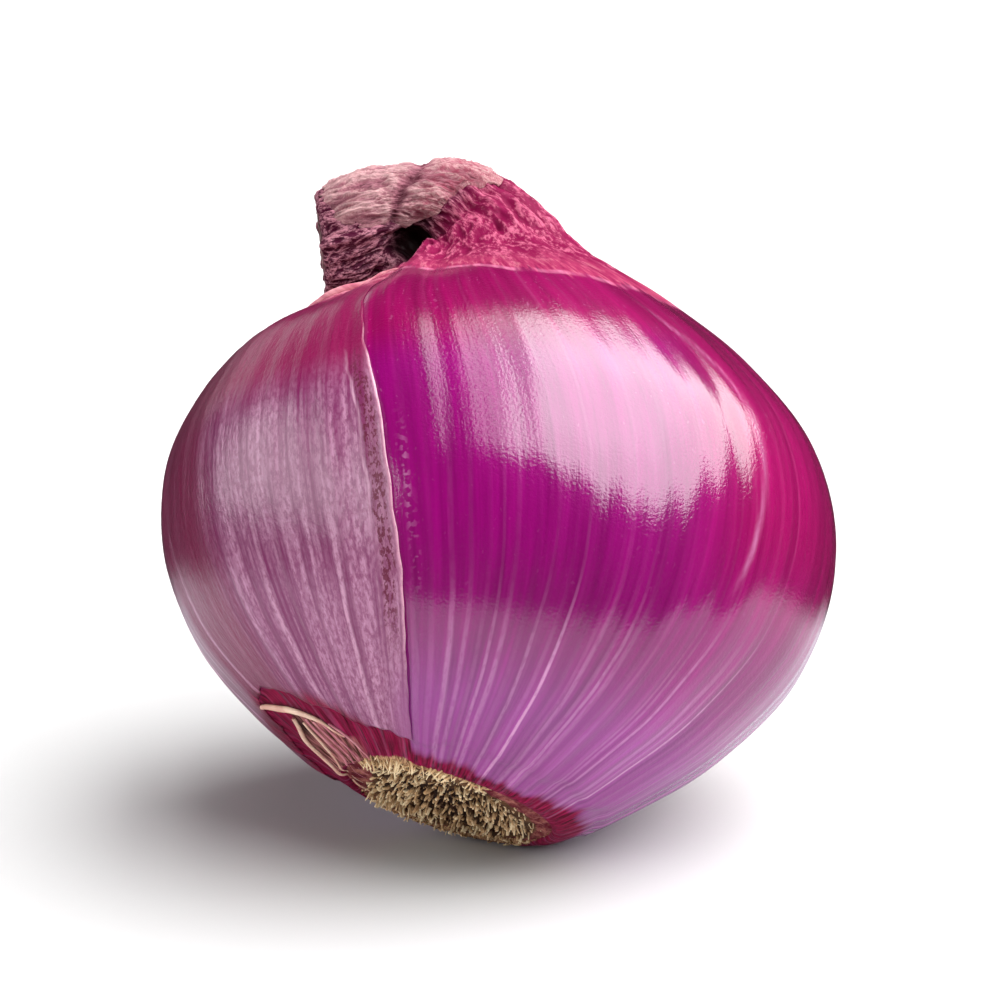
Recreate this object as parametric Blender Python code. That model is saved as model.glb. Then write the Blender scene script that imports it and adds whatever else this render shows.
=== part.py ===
"""A red onion lying on its side, with its dry folded neck and its root plate.

The bulb is a stack of rings that follow a bent centre line from the root recess to the mouth of
the neck. It is modelled upright about its own root-to-neck axis, in millimetres, and an empty
leans it back and sets it on a small flat spot. Local axes: +X right, +Y away, +Z to the neck.
"""

import math
import random

import bmesh
import bpy
import numpy as np
from mathutils import Matrix, Vector, noise

MM = 0.001

# Where the onion stands: its lean towards +Y, and the place of the bulb's local origin
LEAN_DEG = 36.0
SEAT_X = 0.0
SEAT_Y = -0.7
SEAT_Z = 32.3

# Rings of the bulb: centre x, y, z, lean towards -X in degrees, radius, depth over width
STATIONS = (
    (-5.0, 0.0, -27.2, -16.5, 3.0, 0.98),     # floor of the root recess
    (-5.0, 0.0, -27.2, -16.5, 11.2, 0.98),
    (-5.4, 0.0, -28.8, -16.5, 11.8, 0.98),
    (-5.6, 0.0, -29.6, -16.5, 12.6, 0.98),    # lip round the root plate
    (-5.2, 0.0, -28.9, -16.0, 14.3, 0.99),
    (-3.6, 0.0, -25.2, -11.0, 20.2, 1.0),
    (-1.6, 0.0, -20.0, -7.0, 26.9, 1.0),
    (0.2, 0.0, -12.0, -3.0, 33.8, 1.0),
    (0.4, 0.0, -1.8, 0.0, 37.4, 1.0),         # widest ring
    (-0.7, 0.0, 8.4, 2.0, 36.6, 1.0),
    (-2.8, 0.0, 17.0, 4.0, 31.9, 1.0),
    (-4.6, 0.0, 23.6, 6.0, 25.7, 1.0),
    (-4.8, 0.0, 28.2, 10.0, 18.8, 1.0),       # shoulder
    (-4.8, 0.0, 31.6, 15.0, 14.0, 0.95),      # foot of the neck
    (-5.6, 0.0, 34.9, 30.0, 11.0, 0.90),
    (-8.2, -0.3, 37.4, 54.0, 8.8, 0.90),      # bend of the neck
    (-12.4, -0.8, 37.8, 78.0, 6.8, 0.90),
    (-16.4, -1.2, 36.6, 92.0, 6.5, 0.90),
    (-19.8, -1.5, 35.6, 96.0, 5.9, 0.90),     # mouth of the dry neck
    (-19.7, -1.5, 35.6, 96.0, 4.7, 0.90),
    (-16.6, -1.2, 36.2, 92.0, 3.9, 0.90),
    (-13.6, -0.9, 36.8, 84.0, 2.6, 0.90),     # end of the hollow in the neck
)
T_LIP = 3.0
T_WIDEST = 8.0
T_NECK = 13.0
T_BEND = 15.5
T_MOUTH = 18.0

SEGMENTS = 76
SHARP_DEG = 45.0
BODY_PITCH = 3.5
NECK_PITCH = 1.9

# Folds and layers of the skin
RIB_WAVES = ((7, 0.45, 0.4), (11, 0.35, 2.1), (16, 0.30, 4.0), (21, 0.25, 1.3))
RIB_STATIONS = (3.2, 5.0, T_WIDEST, 11.0, T_NECK, 15.0, T_MOUTH, 19.0)
RIB_STRENGTHS = (0.0, 0.30, 0.12, 0.25, 0.75, 0.90, 0.45, 0.0)
SKIN_EDGE_DEG = -108.5
SKIN_BACK_EDGE_DEG = 128.0
SKIN_STEP = 0.35
SKIN_EDGE_WIDTH_DEG = 1.5
EDGE_LENGTH = 0.25
SHOULDER_LENGTH = 1.5
COLLAR_T = 4.38
COLLAR_STEP = 0.30
COLLAR_RAGGED = 0.033
COLLAR_WAVES = ((9, 0.7), (14, 2.9), (23, 5.1))
TEAR_DEG = -163.0
TEAR_WIDTH_DEG = 26.0
TEAR_RISE = 1.25
FOLD_T = 14.9
FOLD_DEG = -116.0
FOLD_WIDTH_DEG = 34.0
FOLD_LENGTH = 1.15
FOLD_DEPTH = 0.42
BEND_DEG = 180.0
BEND_WIDTH_DEG = 65.0
BEND_LENGTH = 1.4
BEND_CALM = 0.9
CREASE_T = 14.42
CREASE_DEG = -78.0
CREASE_WIDTH_DEG = 30.0
CREASE_LENGTH = 0.2
CREASE_DEPTH = 1.0
CRUMPLE_SCALE = 0.42
CRUMPLE_STATIONS = (T_NECK - 0.5, T_NECK + 1.5, T_MOUTH, T_MOUTH + 0.5)
CRUMPLE_DEPTHS = (0.0, 0.45, 0.36, 0.0)

# The torn skin by the root plate: two curled edges, each a list of station and angle
CURL_EDGES = (
    ((5.80, -177.0), (5.60, -162.0), (5.30, -154.0), (5.05, -149.0), (4.70, -145.0), (4.15, -136.0)),
    ((5.10, -163.0), (4.85, -171.0), (4.50, -176.0), (4.15, -175.0), (3.80, -170.0)),
)
CURL_HEIGHT = 1.1
CURL_HALF_WIDTH = 0.95
CURL_SAMPLES = 60
CURL_ENDS = (0.06, 0.94)

# Root plate and its stubble of dried roots
PLATE_PROFILE = ((10.6, 0.35), (11.1, 1.5), (11.4, 2.2), (10.8, 2.9), (7.0, 3.2))
PLATE_TOP = 3.3
PLATE_SEGMENTS = 30
PLATE_SLOPE = 0.6
ROOT_SEED = 11
ROOT_SIDES = 4
ROOT_SUNK = 0.9
ROOT_RADII = (0.52, 0.40)
ROOT_SWAY_SCALE = 0.10
ROOT_SWAY = 0.45
ROOT_ARCH = 0.3
ROOT_FLOOR_CLEARANCE = 0.8
ROOT_SHORTENING = 0.8
FIELD_ROOTS = 68
FIELD_RADIUS = 8.4
FIELD_SPLAY = 0.45
FIELD_LENGTHS = (0.9, 2.0)
RIM_ROOTS = 34
RIM_RADIUS = 10.2
RIM_SPLAY = 2.0
RIM_JITTER = 0.12
RIM_LENGTHS = (2.0, 3.0)
GOLDEN_ANGLE = math.pi * (3.0 - math.sqrt(5.0))

SKIN_COLOUR = (0.235, 0.013, 0.105, 1.0)
SKIN_ROUGHNESS = 0.30
ROOT_COLOUR = (0.42, 0.22, 0.115, 1.0)
ROOT_ROUGHNESS = 0.85

# Steps and tolerances of the surface's own arithmetic
SLOPE_STEP = 0.002
SHORTEST_NORMAL = 1e-9
CUT_TOLERANCE = 1e-6


def clear_scene():
    for obj in list(bpy.data.objects):
        bpy.data.objects.remove(obj, do_unlink=True)


def make_material(name, colour, roughness):
    material = bpy.data.materials.new(name)
    material.use_nodes = True
    shader = material.node_tree.nodes["Principled BSDF"]
    shader.inputs["Base Color"].default_value = colour
    shader.inputs["Roughness"].default_value = roughness
    shader.inputs["Metallic"].default_value = 0.0
    return material


def stations_at(t):
    """Ring values at station numbers t, by a smooth curve through the stations."""
    rows = np.array(STATIONS)
    last = len(rows) - 1
    low = np.clip(np.floor(t).astype(int), 0, last - 1)
    f = (t - low)[..., None]
    before = rows[np.clip(low - 1, 0, last)]
    start = rows[low]
    end = rows[low + 1]
    after = rows[np.clip(low + 2, 0, last)]
    return 0.5 * (2 * start + (end - before) * f + (2 * before - 5 * start + 4 * end - after) * f ** 2
                  + (3 * start - before - 3 * end + after) * f ** 3)


def ring_points(t, angle):
    """Points of the bare rings, without folds, at station numbers t and angles in radians."""
    x, y, z, lean, radius, depth = np.moveaxis(stations_at(t), -1, 0)
    lean = np.radians(lean)
    fold = bell(turn_from(angle, FOLD_DEG), FOLD_WIDTH_DEG) * bell(t - FOLD_T, FOLD_LENGTH)
    radius = radius * (1.0 - FOLD_DEPTH * fold)
    across = radius * np.cos(angle)
    return np.stack((x + across * np.cos(lean), y + radius * depth * np.sin(angle),
                     z + across * np.sin(lean)), axis=-1)


def outward(t, angle):
    """Unit vectors that stand out from the bare rings."""
    along = ring_points(t + SLOPE_STEP, angle) - ring_points(t - SLOPE_STEP, angle)
    around = ring_points(t, angle + SLOPE_STEP) - ring_points(t, angle - SLOPE_STEP)
    normal = np.cross(around, along)
    return normal / np.maximum(np.linalg.norm(normal, axis=-1, keepdims=True), SHORTEST_NORMAL)


def turn_from(angle, degrees):
    """Angles in radians as degrees from a given direction, between -180 and 180."""
    return (np.degrees(angle) - degrees + 180.0) % 360.0 - 180.0


def bell(value, width, power=2):
    return np.exp(-np.abs(value / width) ** power)


def ramp(value):
    return np.clip(value, 0.0, 1.0)


def ribs(t, angle):
    """Lengthwise folds, faint on the body and strong on the neck."""
    strength = np.interp(t, RIB_STATIONS, RIB_STRENGTHS)
    waves = sum(size * np.cos(count * angle + phase) for count, size, phase in RIB_WAVES)
    return strength * waves


def outer_skin(t, angle):
    """The dry outer skin stands a step above the next one, from its front edge round the left."""
    degrees = np.degrees(angle)
    from_front_edge = (SKIN_EDGE_DEG - degrees) % 360.0
    span = (SKIN_EDGE_DEG - SKIN_BACK_EDGE_DEG) % 360.0
    inside = ramp(np.minimum(from_front_edge, span - from_front_edge) / SKIN_EDGE_WIDTH_DEG)
    inside = np.where(from_front_edge <= span, inside, 0.0)
    reach = ramp((t - COLLAR_T) / EDGE_LENGTH) * ramp((T_NECK - t) / SHOULDER_LENGTH)
    return SKIN_STEP * inside * reach


def collar(t, angle):
    """Round the root plate the skins end in a ragged edge, torn further up at one side."""
    ragged = COLLAR_RAGGED * sum(np.cos(count * angle + phase) for count, phase in COLLAR_WAVES)
    edge = COLLAR_T + ragged + TEAR_RISE * bell(turn_from(angle, TEAR_DEG), TEAR_WIDTH_DEG)
    return COLLAR_STEP * ramp((t - edge) / EDGE_LENGTH) * ramp((T_NECK - t) / SHOULDER_LENGTH)


def curls(points):
    """Two curled edges of torn skin beside the root plate."""
    height = np.zeros(points.shape[:-1])
    for edge in CURL_EDGES:
        stations, degrees = np.array(edge).T
        knots = np.arange(len(edge))
        fine = np.linspace(0, len(edge) - 1, CURL_SAMPLES)
        path = ring_points(np.interp(fine, knots, stations), np.radians(np.interp(fine, knots, degrees)))
        taper = np.sqrt(np.sin(np.pi * np.clip(fine / fine[-1], *CURL_ENDS)))
        away = np.linalg.norm(points[..., None, :] - path, axis=-1)
        bump = bell(away, CURL_HALF_WIDTH) * taper
        height = np.maximum(height, CURL_HEIGHT * bump.max(axis=-1))
    return height


def crease(t, angle):
    """The neck is tucked in where its folded top comes out behind its foot."""
    across = bell(turn_from(angle, CREASE_DEG), CREASE_WIDTH_DEG, 4)
    return -CREASE_DEPTH * across * bell(t - CREASE_T, CREASE_LENGTH)


def neck_crumple(points, t):
    """Small dents of the dry neck."""
    depth = np.interp(t, CRUMPLE_STATIONS, CRUMPLE_DEPTHS)
    values = np.zeros(depth.shape)
    for index in np.argwhere(depth > 0.0):
        place = Vector(points[tuple(index)]) * CRUMPLE_SCALE
        values[tuple(index)] = noise.noise(place)
    return depth * values


def bend_calm(t, angle):
    """Less relief on the inner side of the neck's bend, where the folds would cross."""
    return 1.0 - BEND_CALM * bell(turn_from(angle, BEND_DEG), BEND_WIDTH_DEG) * bell(t - T_BEND, BEND_LENGTH)


def bulb_surface(t, angle):
    """Points of the finished bulb surface."""
    points = ring_points(t, angle)
    height = ribs(t, angle) * bend_calm(t, angle) + outer_skin(t, angle) + collar(t, angle)
    height = height + curls(points) + crease(t, angle) + neck_crumple(points, t) * bend_calm(t, angle)
    height = height * ramp(t - T_LIP + 0.5)
    return points + height[..., None] * outward(t, angle)


def ring_stations():
    """Station numbers of the rings, closer together at the root recess and on the neck."""
    values = [0.0]
    side = np.radians(np.array((0.0, 90.0, 180.0)))
    for number in range(len(STATIONS) - 1):
        ends = ring_points(np.array([[number], [number + 1]]) * np.ones(3), side)
        length = np.linalg.norm(ends[1] - ends[0], axis=-1).max()
        body = T_LIP + 1.0 < number < T_NECK - 1.0
        count = max(1, round(length / (BODY_PITCH if body else NECK_PITCH)))
        values.extend(number + (step + 1) / count for step in range(count))
    return np.array(values)


def lean_back():
    """The turn that leans the neck back towards +Y."""
    return Matrix.Rotation(math.radians(-LEAN_DEG), 4, "X")


def new_object(name, mesh):
    """A linked object that takes over a bmesh."""
    data = bpy.data.meshes.new(name)
    mesh.to_mesh(data)
    mesh.free()
    obj = bpy.data.objects.new(name, data)
    bpy.context.scene.collection.objects.link(obj)
    return obj


def skin_rings(mesh, rows):
    """Join neighbouring rings of vertices by faces and close both ends with a fan."""
    rings = [[mesh.verts.new(Vector(point) * MM) for point in row] for row in rows]
    count = len(rings[0])
    for lower, upper in zip(rings, rings[1:]):
        for index in range(count):
            after = (index + 1) % count
            mesh.faces.new((lower[index], lower[after], upper[after], upper[index]))
    for ring, turned in ((rings[0], True), (rings[-1], False)):
        centre = mesh.verts.new(sum((vert.co for vert in ring), Vector()) / count)
        for index in range(count):
            pair = (ring[index], ring[(index + 1) % count])
            mesh.faces.new((centre, pair[1], pair[0]) if turned else (centre, pair[0], pair[1]))


def finish_surface(obj, material):
    obj.data.materials.clear()
    obj.data.materials.append(material)
    obj.data.shade_smooth()
    obj.data.set_sharp_from_angle(angle=math.radians(SHARP_DEG))


def cut_flat_spot(mesh):
    """Cut the underside flat where the leaned bulb touches the surface it lies on."""
    down = lean_back().inverted().to_3x3() @ Vector((0.0, 0.0, -1.0))
    low_point = down * SEAT_Z * MM
    geometry = mesh.verts[:] + mesh.edges[:] + mesh.faces[:]
    cut = bmesh.ops.bisect_plane(mesh, geom=geometry, dist=CUT_TOLERANCE, plane_co=low_point,
                                 plane_no=down, clear_outer=True)
    border = [item for item in cut["geom_cut"] if isinstance(item, bmesh.types.BMEdge)]
    bmesh.ops.contextual_create(mesh, geom=border)


def make_bulb(parent):
    stations = ring_stations()
    angles = np.arange(SEGMENTS) * 2.0 * math.pi / SEGMENTS
    t, angle = np.meshgrid(stations, angles, indexing="ij")
    mesh = bmesh.new()
    skin_rings(mesh, bulb_surface(t, angle))
    cut_flat_spot(mesh)
    bmesh.ops.recalc_face_normals(mesh, faces=mesh.faces)
    obj = new_object("bulb", mesh)
    obj.parent = parent
    finish_surface(obj, make_material("red_onion_skin", SKIN_COLOUR, SKIN_ROUGHNESS))


def plate_axes():
    """Centre, outward axis and two cross axes of the root recess."""
    x, y, z, lean = STATIONS[1][:4]
    lean = math.radians(lean)
    across = Vector((math.cos(lean), 0.0, math.sin(lean)))
    away = Vector((0.0, 1.0, 0.0))
    return Vector((x, y, z)), away.cross(across), across, away


def plate_point(radius, angle, height):
    centre, out, across, away = plate_axes()
    return centre + out * height + across * (radius * math.cos(angle)) + away * (radius * math.sin(angle))


def plate_mesh():
    rows = []
    for radius, height in PLATE_PROFILE:
        turns = [2.0 * math.pi * step / PLATE_SEGMENTS for step in range(PLATE_SEGMENTS)]
        rows.append([plate_point(radius, -turn, height) for turn in turns])
    mesh = bmesh.new()
    skin_rings(mesh, rows)
    bmesh.ops.recalc_face_normals(mesh, faces=mesh.faces)
    return mesh


def height_over_floor(point):
    return (lean_back().to_3x3() @ point).z + SEAT_Z


def root_places(rng):
    """Radius, angle, splay and length of each root: a spiral of upright ones in a splayed rim."""
    for number in range(FIELD_ROOTS):
        share = (number + 0.5) / FIELD_ROOTS
        radius = FIELD_RADIUS * math.sqrt(share)
        yield radius, number * GOLDEN_ANGLE, FIELD_SPLAY * share, rng.uniform(*FIELD_LENGTHS)
    for number in range(RIM_ROOTS):
        turn = number + rng.uniform(-RIM_JITTER, RIM_JITTER)
        yield RIM_RADIUS, turn * 2.0 * math.pi / RIM_ROOTS, RIM_SPLAY, rng.uniform(*RIM_LENGTHS)


def root_path(rng, radius, angle, splay, length):
    """Base, middle and tip of one dried root."""
    out, across, away = plate_axes()[1:]
    radial = across * math.cos(angle) + away * math.sin(angle)
    tangent = out.cross(radial)
    base = plate_point(radius, angle, PLATE_TOP - PLATE_SLOPE * (radius / RIM_RADIUS) ** 3)
    sway = noise.noise_vector(base * ROOT_SWAY_SCALE) * ROOT_SWAY
    direction = (out + radial * (splay + sway.x) + tangent * sway.y).normalized()
    tip = base + direction * length
    while height_over_floor(tip) < ROOT_FLOOR_CLEARANCE + ROOT_RADII[1]:
        length *= ROOT_SHORTENING
        tip = base + direction * length
    middle = base + direction * length * 0.5 + out * rng.uniform(0.0, ROOT_ARCH)
    return base - direction * ROOT_SUNK, middle, tip


def root_rows(path, thickness):
    """Cross-sections along one root, thinner to its tip and not twisted against each other."""
    rows = []
    reference = (path[-1] - path[0]).orthogonal()
    for number, point in enumerate(path):
        before = path[max(number - 1, 0)]
        after = path[min(number + 1, len(path) - 1)]
        axis = (after - before).normalized()
        side = (reference - axis * reference.dot(axis)).normalized()
        other = axis.cross(side)
        radius = thickness[0] + (thickness[1] - thickness[0]) * number / (len(path) - 1)
        turns = [2.0 * math.pi * step / ROOT_SIDES for step in range(ROOT_SIDES)]
        rows.append([point + side * (radius * math.cos(turn)) + other * (radius * math.sin(turn))
                     for turn in turns])
    return rows


def add_root(path, collection):
    mesh = bmesh.new()
    skin_rings(mesh, root_rows(path, ROOT_RADII))
    bmesh.ops.recalc_face_normals(mesh, faces=mesh.faces)
    collection.objects.link(new_object("root", mesh))


def join_by_union(obj, collection):
    """Join every object of a collection to one object, and remove the collection."""
    modifier = obj.modifiers.new("union", "BOOLEAN")
    modifier.operation = "UNION"
    modifier.operand_type = "COLLECTION"
    modifier.collection = collection
    modifier.solver = "MANIFOLD"
    bpy.context.view_layer.update()
    graph = bpy.context.evaluated_depsgraph_get()
    joined = bpy.data.meshes.new_from_object(obj.evaluated_get(graph))
    obj.modifiers.clear()
    obj.data = joined
    for member in list(collection.objects):
        bpy.data.objects.remove(member, do_unlink=True)
    bpy.data.collections.remove(collection)


def spread_from(face):
    """Every face that hangs together with this one."""
    found = {face}
    waiting = [face]
    while waiting:
        for edge in waiting.pop().edges:
            for neighbour in edge.link_faces:
                if neighbour not in found:
                    found.add(neighbour)
                    waiting.append(neighbour)
    return found


def keep_largest_body(obj):
    """Fill pockets sealed between roots, and drop loose scraps."""
    mesh = bmesh.new()
    mesh.from_mesh(obj.data)
    left = set(mesh.faces)
    bodies = []
    while left:
        body = spread_from(next(iter(left)))
        bodies.append(body)
        left -= body
    largest = max(bodies, key=len)
    dropped = {vert for body in bodies if body is not largest for face in body for vert in face.verts}
    bmesh.ops.delete(mesh, geom=list(dropped), context="VERTS")
    mesh.to_mesh(obj.data)
    mesh.free()


def make_root_tuft(parent):
    rng = random.Random(ROOT_SEED)
    obj = new_object("root_tuft", plate_mesh())
    collection = bpy.data.collections.new("roots")
    for place in root_places(rng):
        add_root(root_path(rng, *place), collection)
    join_by_union(obj, collection)
    keep_largest_body(obj)
    obj.parent = parent
    finish_surface(obj, make_material("dried_roots", ROOT_COLOUR, ROOT_ROUGHNESS))


def main():
    clear_scene()
    holder = bpy.data.objects.new("onion", None)
    bpy.context.scene.collection.objects.link(holder)
    holder.matrix_world = Matrix.Translation(Vector((SEAT_X, SEAT_Y, SEAT_Z)) * MM) @ lean_back()
    make_bulb(holder)
    make_root_tuft(holder)
    bpy.context.view_layer.update()


main()
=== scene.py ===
"""The looks of a red onion lying on its side: glossy veined skin, a dry outer skin that ends in a
torn edge, a folded dry neck, torn skin beside the root plate, and the plate's stubble of roots.

Lengths are millimetres in the onion's own upright frame (+X right, +Y away, +Z to the neck) until
place() leans the points back and turns them into metres. A place on the skin is a station number,
0 in the root recess and T_END inside the neck, and an angle round the bulb, where 0 is +X.
"""

import math
import random

import bpy
import numpy as np
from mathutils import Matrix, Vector, noise


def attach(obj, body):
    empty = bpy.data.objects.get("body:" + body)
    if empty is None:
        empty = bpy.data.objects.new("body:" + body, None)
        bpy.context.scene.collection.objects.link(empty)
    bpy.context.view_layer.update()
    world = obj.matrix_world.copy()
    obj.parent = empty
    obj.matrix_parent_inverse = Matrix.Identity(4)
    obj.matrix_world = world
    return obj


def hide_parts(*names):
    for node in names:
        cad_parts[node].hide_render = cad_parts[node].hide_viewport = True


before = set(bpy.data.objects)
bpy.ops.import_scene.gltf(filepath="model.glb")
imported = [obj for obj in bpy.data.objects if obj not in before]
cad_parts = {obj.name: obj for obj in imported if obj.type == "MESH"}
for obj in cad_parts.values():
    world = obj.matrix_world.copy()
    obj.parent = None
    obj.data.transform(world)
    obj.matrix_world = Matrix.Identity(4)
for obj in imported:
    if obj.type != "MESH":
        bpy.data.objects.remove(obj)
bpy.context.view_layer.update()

MM = 0.001
TURN = 2 * math.pi

# Where the onion stands: its lean towards +Y, and the place of the bulb's local origin
LEAN = math.radians(36)
SEAT = np.array((0, -0.7, 32.3))

# Rings of the bulb: centre x, y, z, lean towards -X in degrees, radius, depth over width
STATIONS = np.array((
    (-5, 0, -27.2, -16.5, 3, 0.98),  # floor of the root recess
    (-5, 0, -27.2, -16.5, 11.2, 0.98),
    (-5.4, 0, -28.8, -16.5, 11.8, 0.98),
    (-5.6, 0, -29.6, -16.5, 12.6, 0.98),  # lip round the root plate
    (-5.2, 0, -28.9, -16, 14.3, 0.99),
    (-3.6, 0, -25.2, -11, 20.2, 1),
    (-1.6, 0, -20, -7, 26.9, 1),
    (0.2, 0, -12, -3, 33.8, 1),
    (0.4, 0, -1.8, 0, 37.4, 1),  # widest ring
    (-0.7, 0, 8.4, 2, 36.6, 1),
    (-2.8, 0, 17, 4, 31.9, 1),
    (-4.6, 0, 23.6, 6, 25.7, 1),
    (-4.8, 0, 28.2, 10, 18.8, 1),  # shoulder
    (-4.8, 0, 31.6, 15, 14, 0.95),  # foot of the neck
    (-5.6, 0, 34.9, 30, 11, 0.9),
    (-8.2, -0.3, 37.4, 54, 8.8, 0.9),  # bend of the neck
    (-12.4, -0.8, 37.8, 78, 6.8, 0.9),
    (-16.4, -1.2, 36.6, 92, 6.5, 0.9),
    (-19.8, -1.5, 35.6, 96, 5.9, 0.9),  # mouth of the dry neck
    (-19.7, -1.5, 35.6, 96, 4.7, 0.9),
    (-16.6, -1.2, 36.2, 92, 3.9, 0.9),
    (-13.6, -0.9, 36.8, 84, 2.6, 0.9),  # end of the hollow in the neck
))
T_LIP = 3
T_WIDEST = 8
T_NECK = 13
T_MOUTH = 18
T_END = 21

# Folds and layers of the skin, as in the solid. Waves are a count, a height and a phase each, and
# strengths are a station and a value each.
RIB_WAVES = ((7, 0.45, 0.4), (11, 0.35, 2.1), (16, 0.3, 4), (21, 0.25, 1.3))
RIB_STRENGTHS = ((3.2, 0), (5, 0.3), (T_WIDEST, 0.12), (11, 0.25), (T_NECK, 0.75), (15, 0.9),
                 (T_MOUTH, 0.45), (19, 0))
COLLAR_T = 4.38
COLLAR_WAVES = ((9, 0.033, 0.7), (14, 0.033, 2.9), (23, 0.033, 5.1))
COLLAR_STEP = 0.3
COLLAR_STEP_WIDTH = 0.12
COLLAR_STEP_FADE = 1.5
TEAR_DEG = -163
TEAR_WIDTH_DEG = 26
TEAR_RISE = 1.25
CRUMPLE_SCALE = 0.42
CRUMPLE_DEPTHS = ((T_NECK - 0.5, 0), (T_NECK + 1.5, 0.45), (T_MOUTH, 0.36), (T_MOUTH + 0.5, 0))

# Spots on the neck: station, length, degrees, width, and how square they are across and along. The neck
# is folded over, calmer inside its bend, tucked in where its top comes out, and hollow under the fold.
FOLD = (14.9, 1.15, -116, 34, 2, 2)
BEND = (15.5, 1.4, 180, 65, 2, 2)
CREASE = (14.42, 0.2, -78, 30, 4, 2)
HOLLOW = (14.85, 0.78, -121, 20, 4, 4)
FOLD_DEPTH = 0.42
BEND_CALM = 0.9
CREASE_DEPTH = 1
HOLLOW_DEPTH = 2.6

# Fineness of the visible skin: segments round it, and rings between stations
SKIN_SEGMENTS = 400
RING_COUNTS = ((0, 1, 4), (1, 3, 10), (3, 5, 34), (5, 12, 92), (12, 18, 84), (18, T_END, 14))

# Fine lengthwise ridges
FINE_SEED = 3
FINE_WAVES = 9
FINE_COUNTS = (26, 62)
FINE_WANDER = (0.2, 0.9)
FINE_HEIGHTS = ((3.6, 0), (4.8, 0.013), (T_MOUTH - 1, 0.013), (T_MOUTH, 0))

# Veins of the skin, counted round the bulb
VEINS = 54
VEIN_SEED = 5
VEIN_JITTER = 0.3

# Fine wrinkles of the dry neck: how far they run round and along, their height, and the noise that
# bends and folds them, each a size, a scale and a seed
WRINKLE_AROUND = 9.5
WRINKLE_ALONG = 1.9
WRINKLE_HEIGHT = 0.3
WRINKLE_STRENGTHS = ((11.6, 0), (12.6, 0.35), (13.4, 1), (T_MOUTH, 1), (T_MOUTH + 0.4, 0))
WRINKLE_WARP = (1.3, 0.45, 7)
WRINKLE_FOLDS = ((2.6, 1, 3), (1.3, 2.3, 9))

# Where the dry neck starts: degrees and station, with waves behind
NECK_FOOT = ((-180, 12.3), (-139, 12.2), (-105, 11.85), (-92, 11.75), (-83, 11.6), (-75, 11.3), (-62, 11.2),
             (-53, 11.05), (-40, 10.9), (0, 10.95), (14, 11.8), (36, 12.6), (180, 12.6))
FOOT_WAVES = ((3, 0.3, 1), (7, 0.22, 0), (13, 0.12, 2))

# The dry outer skin: its front edge as stations and degrees, its back edge, where its painted shade towards
# the back begins, its hem and its sheet
FRONT_EDGE = ((4.2, -107), (5.6, -108), (7.3, -108.5), (8.8, -109.5), (9.9, -112), (11, -113.5),
              (12.9, -114))
BACK_EDGE_DEG = -232
BACK_SHADE_DEG = -144
HEM_GAP = 0.12
HEM_WAVES = ((31, 0.02, 0), (53, 0.02, 1))
OUTER_TOP_T = 12.75
OUTER_SPAN_DEG = 124
OUTER_GAP = 0.16
OUTER_CURL = 0.2
OUTER_CURL_DEG = 1.3
OUTER_THICKNESS = 0.13
OUTER_CELLS = (210, 190)

# The pale dry flap on the neck: its back edge, its front edge as stations and degrees, its sheet, its
# humps (station, height, length), and the crease between them
FLAP_BACK_DEG = 70
FLAP_FRONT = ((14.55, -45), (14.75, -84), (15.5, -104), (16.4, -107), (16.9, -93), (17.4, -86),
              (17.8, -66))
FLAP_START = FLAP_FRONT[0][0]
FLAP_END = FLAP_FRONT[-1][0]
FLAP_CELLS = (120, 170)
FLAP_LIFT = 0.15
FLAP_THICKNESS = 0.16
FLAP_HUMPS = ((15.1, 0.35, 0.55), (16.75, 0.45, 0.75))
FLAP_CREASE_T = 15.75
FLAP_CREASE_DEPTH = 0.55
FLAP_COVER_DEPTH = 1
FLAP_WARP = (0.6, 0.7, 2)
FLAP_FOLDS = ((2, 1.1, 11), (1.2, 2.4, 5), (0.9, 4.6, 8))

# Papery layers rolled up in the open end of the neck: turns, radii, stations deep inside and at the end
LAYER_TURNS = 4.3
LAYER_RADII = ((0, 4.95), (1, 0.7))
LAYER_LIMITS = (0.15, 5.1)
LAYER_LOW_T = 20.6
LAYER_TOP_T = 18.25
LAYER_CELLS = (22, 560)
LAYER_THICKNESS = 0.14
NECK_DEPTH = 0.9

# A pale line on the right of the skin: station and degrees
PALE_LINE = ((6.9, -44), (7.5, -41), (8, -39.5), (8.5, -38.5), (9, -38.5), (9.5, -40.5),
             (10.15, -45), (10.8, -48))

# The rolled lip of skin at the foot of the neck
LIP_RADIUS = 0.5
LIP_LINE = ((12.05, -160), (12.2, -152), (12.35, -144), (12.6, -134), (12.85, -124), (12.8, -115))
LIP_TURNS = (-40, 190)
LIP_LIFT = 0.12
LIP_PEAK = 0.6

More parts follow.
